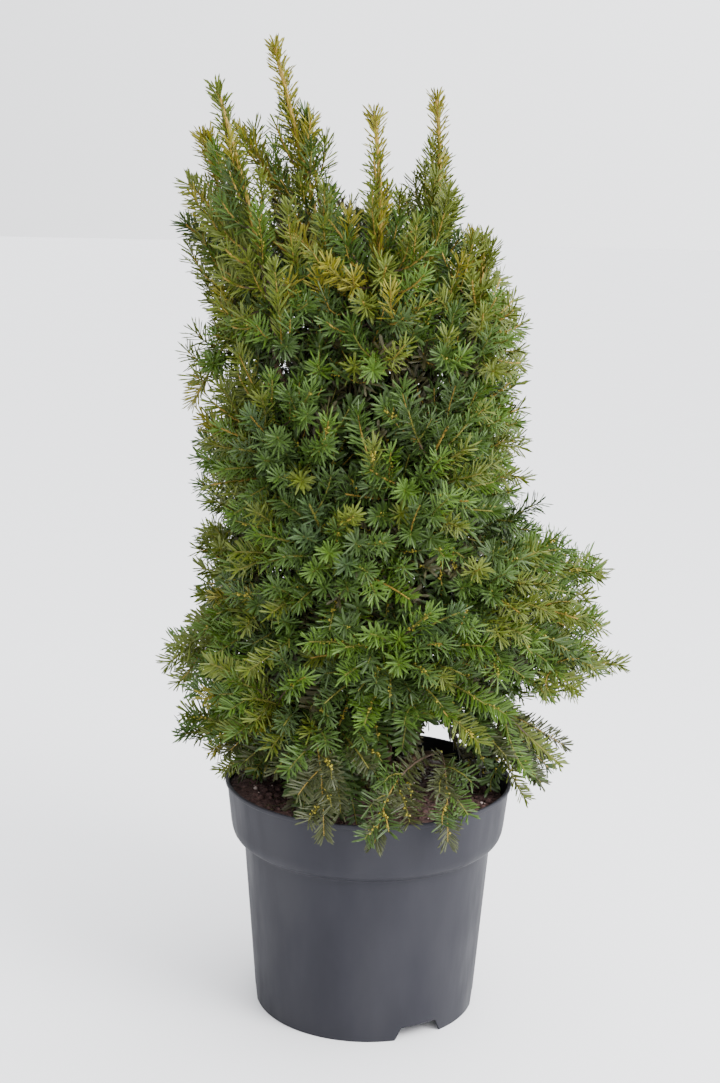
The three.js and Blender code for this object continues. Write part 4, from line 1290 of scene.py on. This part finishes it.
# The stretch, sections and sides of the tubes for stems, twigs and side shoots.
WOODY_TUBES = (((0, 0.45), 12, 6), ((0, 0.5), 5, 4))
YOUNG_TUBES = (((0.4, 1), 12, 6), ((0.46, 1), 5, 4), ((0, 1), 4, 3))


def make_twigs(shoots):
    """Woody feet of stems and twigs, and young bark on the rest of them and on side shoots."""
    by_rank = [[s for s in shoots if s.rank == rank] for rank in RANKS]
    parts = {"woody": [tubes(group, *tube) for group, tube in zip(by_rank, WOODY_TUBES)]}
    for bark in ("golden", "green"):
        some = [[s for s in group if s.bark == bark] for group in by_rank]
        parts[bark] = [tubes(group, *tube) for group, tube in zip(some, YOUNG_TUBES) if group]
    for bark, tube_parts in parts.items():
        material = plain_material(f"twig_{bark}", TWIG_TONES[bark], (0.5, 0.75), 0.3)
        wood = piece(f"twigs_{bark}", *join(tube_parts), material, "foliage")
    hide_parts(*[n for n in frame["nodes"] if n.startswith("foliage_")])


BUD_FACES = np.array([
    (0, 2, 4), (2, 1, 4), (1, 3, 4), (3, 0, 4), (2, 0, 5), (1, 2, 5), (3, 1, 5), (0, 3, 5)])


def make_buds(shoots):
    """Clusters of round flower buds along some shoots."""
    rng = random.Random(SEED + 1)
    corners = np.array([(1, 0, 0), (-1, 0, 0), (0, 1, 0), (0, -1, 0), (0, 0, 1), (0, 0, -1)], float)
    parts = []
    for shoot in shoots:
        x, _, z = shoot.curve[2]
        likely = BUDS["few"] if z >= BUDS["above"] or x <= BUDS["left_of"] else BUDS["share"]
        if shoot.rank == STEM or rng.random() > likely:
            continue
        length = shoot.length()
        nearest, furthest = BUDS["stretch"]
        for _ in range(rng.randint(*BUDS["cluster"])):
            t = 1 - rng.uniform(nearest, min(furthest, length * 0.8)) / length
            foot, _, side, upper = (row[0] for row in shoot.frame_at(t))
            turn = rng.uniform(0, 2 * math.pi)
            out = side * math.cos(turn) + upper * (math.sin(turn) + 0.4)
            place = foot + out * BUDS["off"]
            if is_clear(place, margin=1)[0]:
                parts.append((place + corners * rng.uniform(*BUDS["size"]), BUD_FACES))
    ochre = plain_material("bud", (0.27, 0.225, 0.02), (0.5, 0.7), 0.4)
    piece("flower_buds", *join(parts), ochre, "foliage")


# ---- stage
# The camera and the lamp are placed in metres.
CAMERA_AT = (-0.0126, -1.643, 0.809)
CAMERA_PITCH = math.radians(11.82)  # down
CAMERA_ROLL = 0.0192
LENS = 58.1
KEY_LIGHT = {"place": (1.7, -1.5, 2.2), "target": (0, 0, 0.45), "size": 1.4, "power": 115}
# The light from all round changes along two directions: its strength at two places of each.
WORLD_LIGHT = (("Z", 2.5, 3.1, 0, 0.5), ("X", 0.45, 1.6, -0.8, 0.8))
FLOOR_HALF = 20000  # in millimetres, as all meshes are


def make_camera():
    data = bpy.data.cameras.new("camera")
    data.lens = LENS
    camera = place_object("camera", data)
    aim = Matrix.Rotation(math.pi / 2 - CAMERA_PITCH, 4, "X") @ Matrix.Rotation(CAMERA_ROLL, 4, "Z")
    camera.matrix_world = Matrix.Translation(CAMERA_AT) @ aim
    bpy.context.scene.camera = camera


def area_light(name, place, target, size, power):
    data = bpy.data.lights.new(name, "AREA")
    data.shape = "DISK"
    data.size = size
    data.energy = power
    light = place_object(name, data)
    aim = (Vector(target) - Vector(place)).to_track_quat("-Z", "Y")
    light.matrix_world = Matrix.Translation(place) @ aim.to_matrix().to_4x4()


def soft_world():
    """Pale light from all round, a little brighter from above and from the right."""
    world = bpy.data.worlds.new("studio")
    world.use_nodes = True
    tree = world.node_tree
    backdrop = tree.nodes["Background"]
    backdrop.inputs["Color"].default_value = (0.96, 0.97, 1.0, 1)
    where = add_node(tree, "ShaderNodeTexCoord")
    axes = add_node(tree, "ShaderNodeSeparateXYZ")
    tree.links.new(where.outputs["Generated"], axes.inputs["Vector"])
    product = add_node(tree, "ShaderNodeMath")
    product.operation = "MULTIPLY"
    for (axis, *values), socket in zip(WORLD_LIGHT, product.inputs):
        vary_value(tree, axes.outputs[axis], socket, *values)
    tree.links.new(product.outputs["Value"], backdrop.inputs["Strength"])
    bpy.context.scene.world = world


def make_stage():
    """World, light and floor, in place of what Blender starts with."""
    for obj in [o for o in bpy.context.scene.objects if o.name in ("Cube", "Light", "Camera")]:
        bpy.data.objects.remove(obj)
    soft_world()
    area_light("key", **KEY_LIGHT)
    material, tree, shader = new_material("pale_floor", (0.85, 0.85, 0.86), 0.6, 0.3)
    vary_value(tree, noise_at(tree, 3, 2), shader.inputs["Roughness"], 0.5, 0.7)
    corners = FLOOR_HALF * np.array([(-1, -1, 0), (1, -1, 0), (1, 1, 0), (-1, 1, 0)])
    floor = mesh_object("floor", corners, [(0, 1, 2, 3)], material)


# ---- the whole plant
make_camera()
make_stage()
make_pot()
make_soil()
masses = plan_masses()
bark_skin = bark_material()
make_trunk(bark_skin)
make_boughs(bark_skin, masses)
crown = grow_crown(masses)
make_twigs(crown)
make_needles(crown)
make_buds(crown)
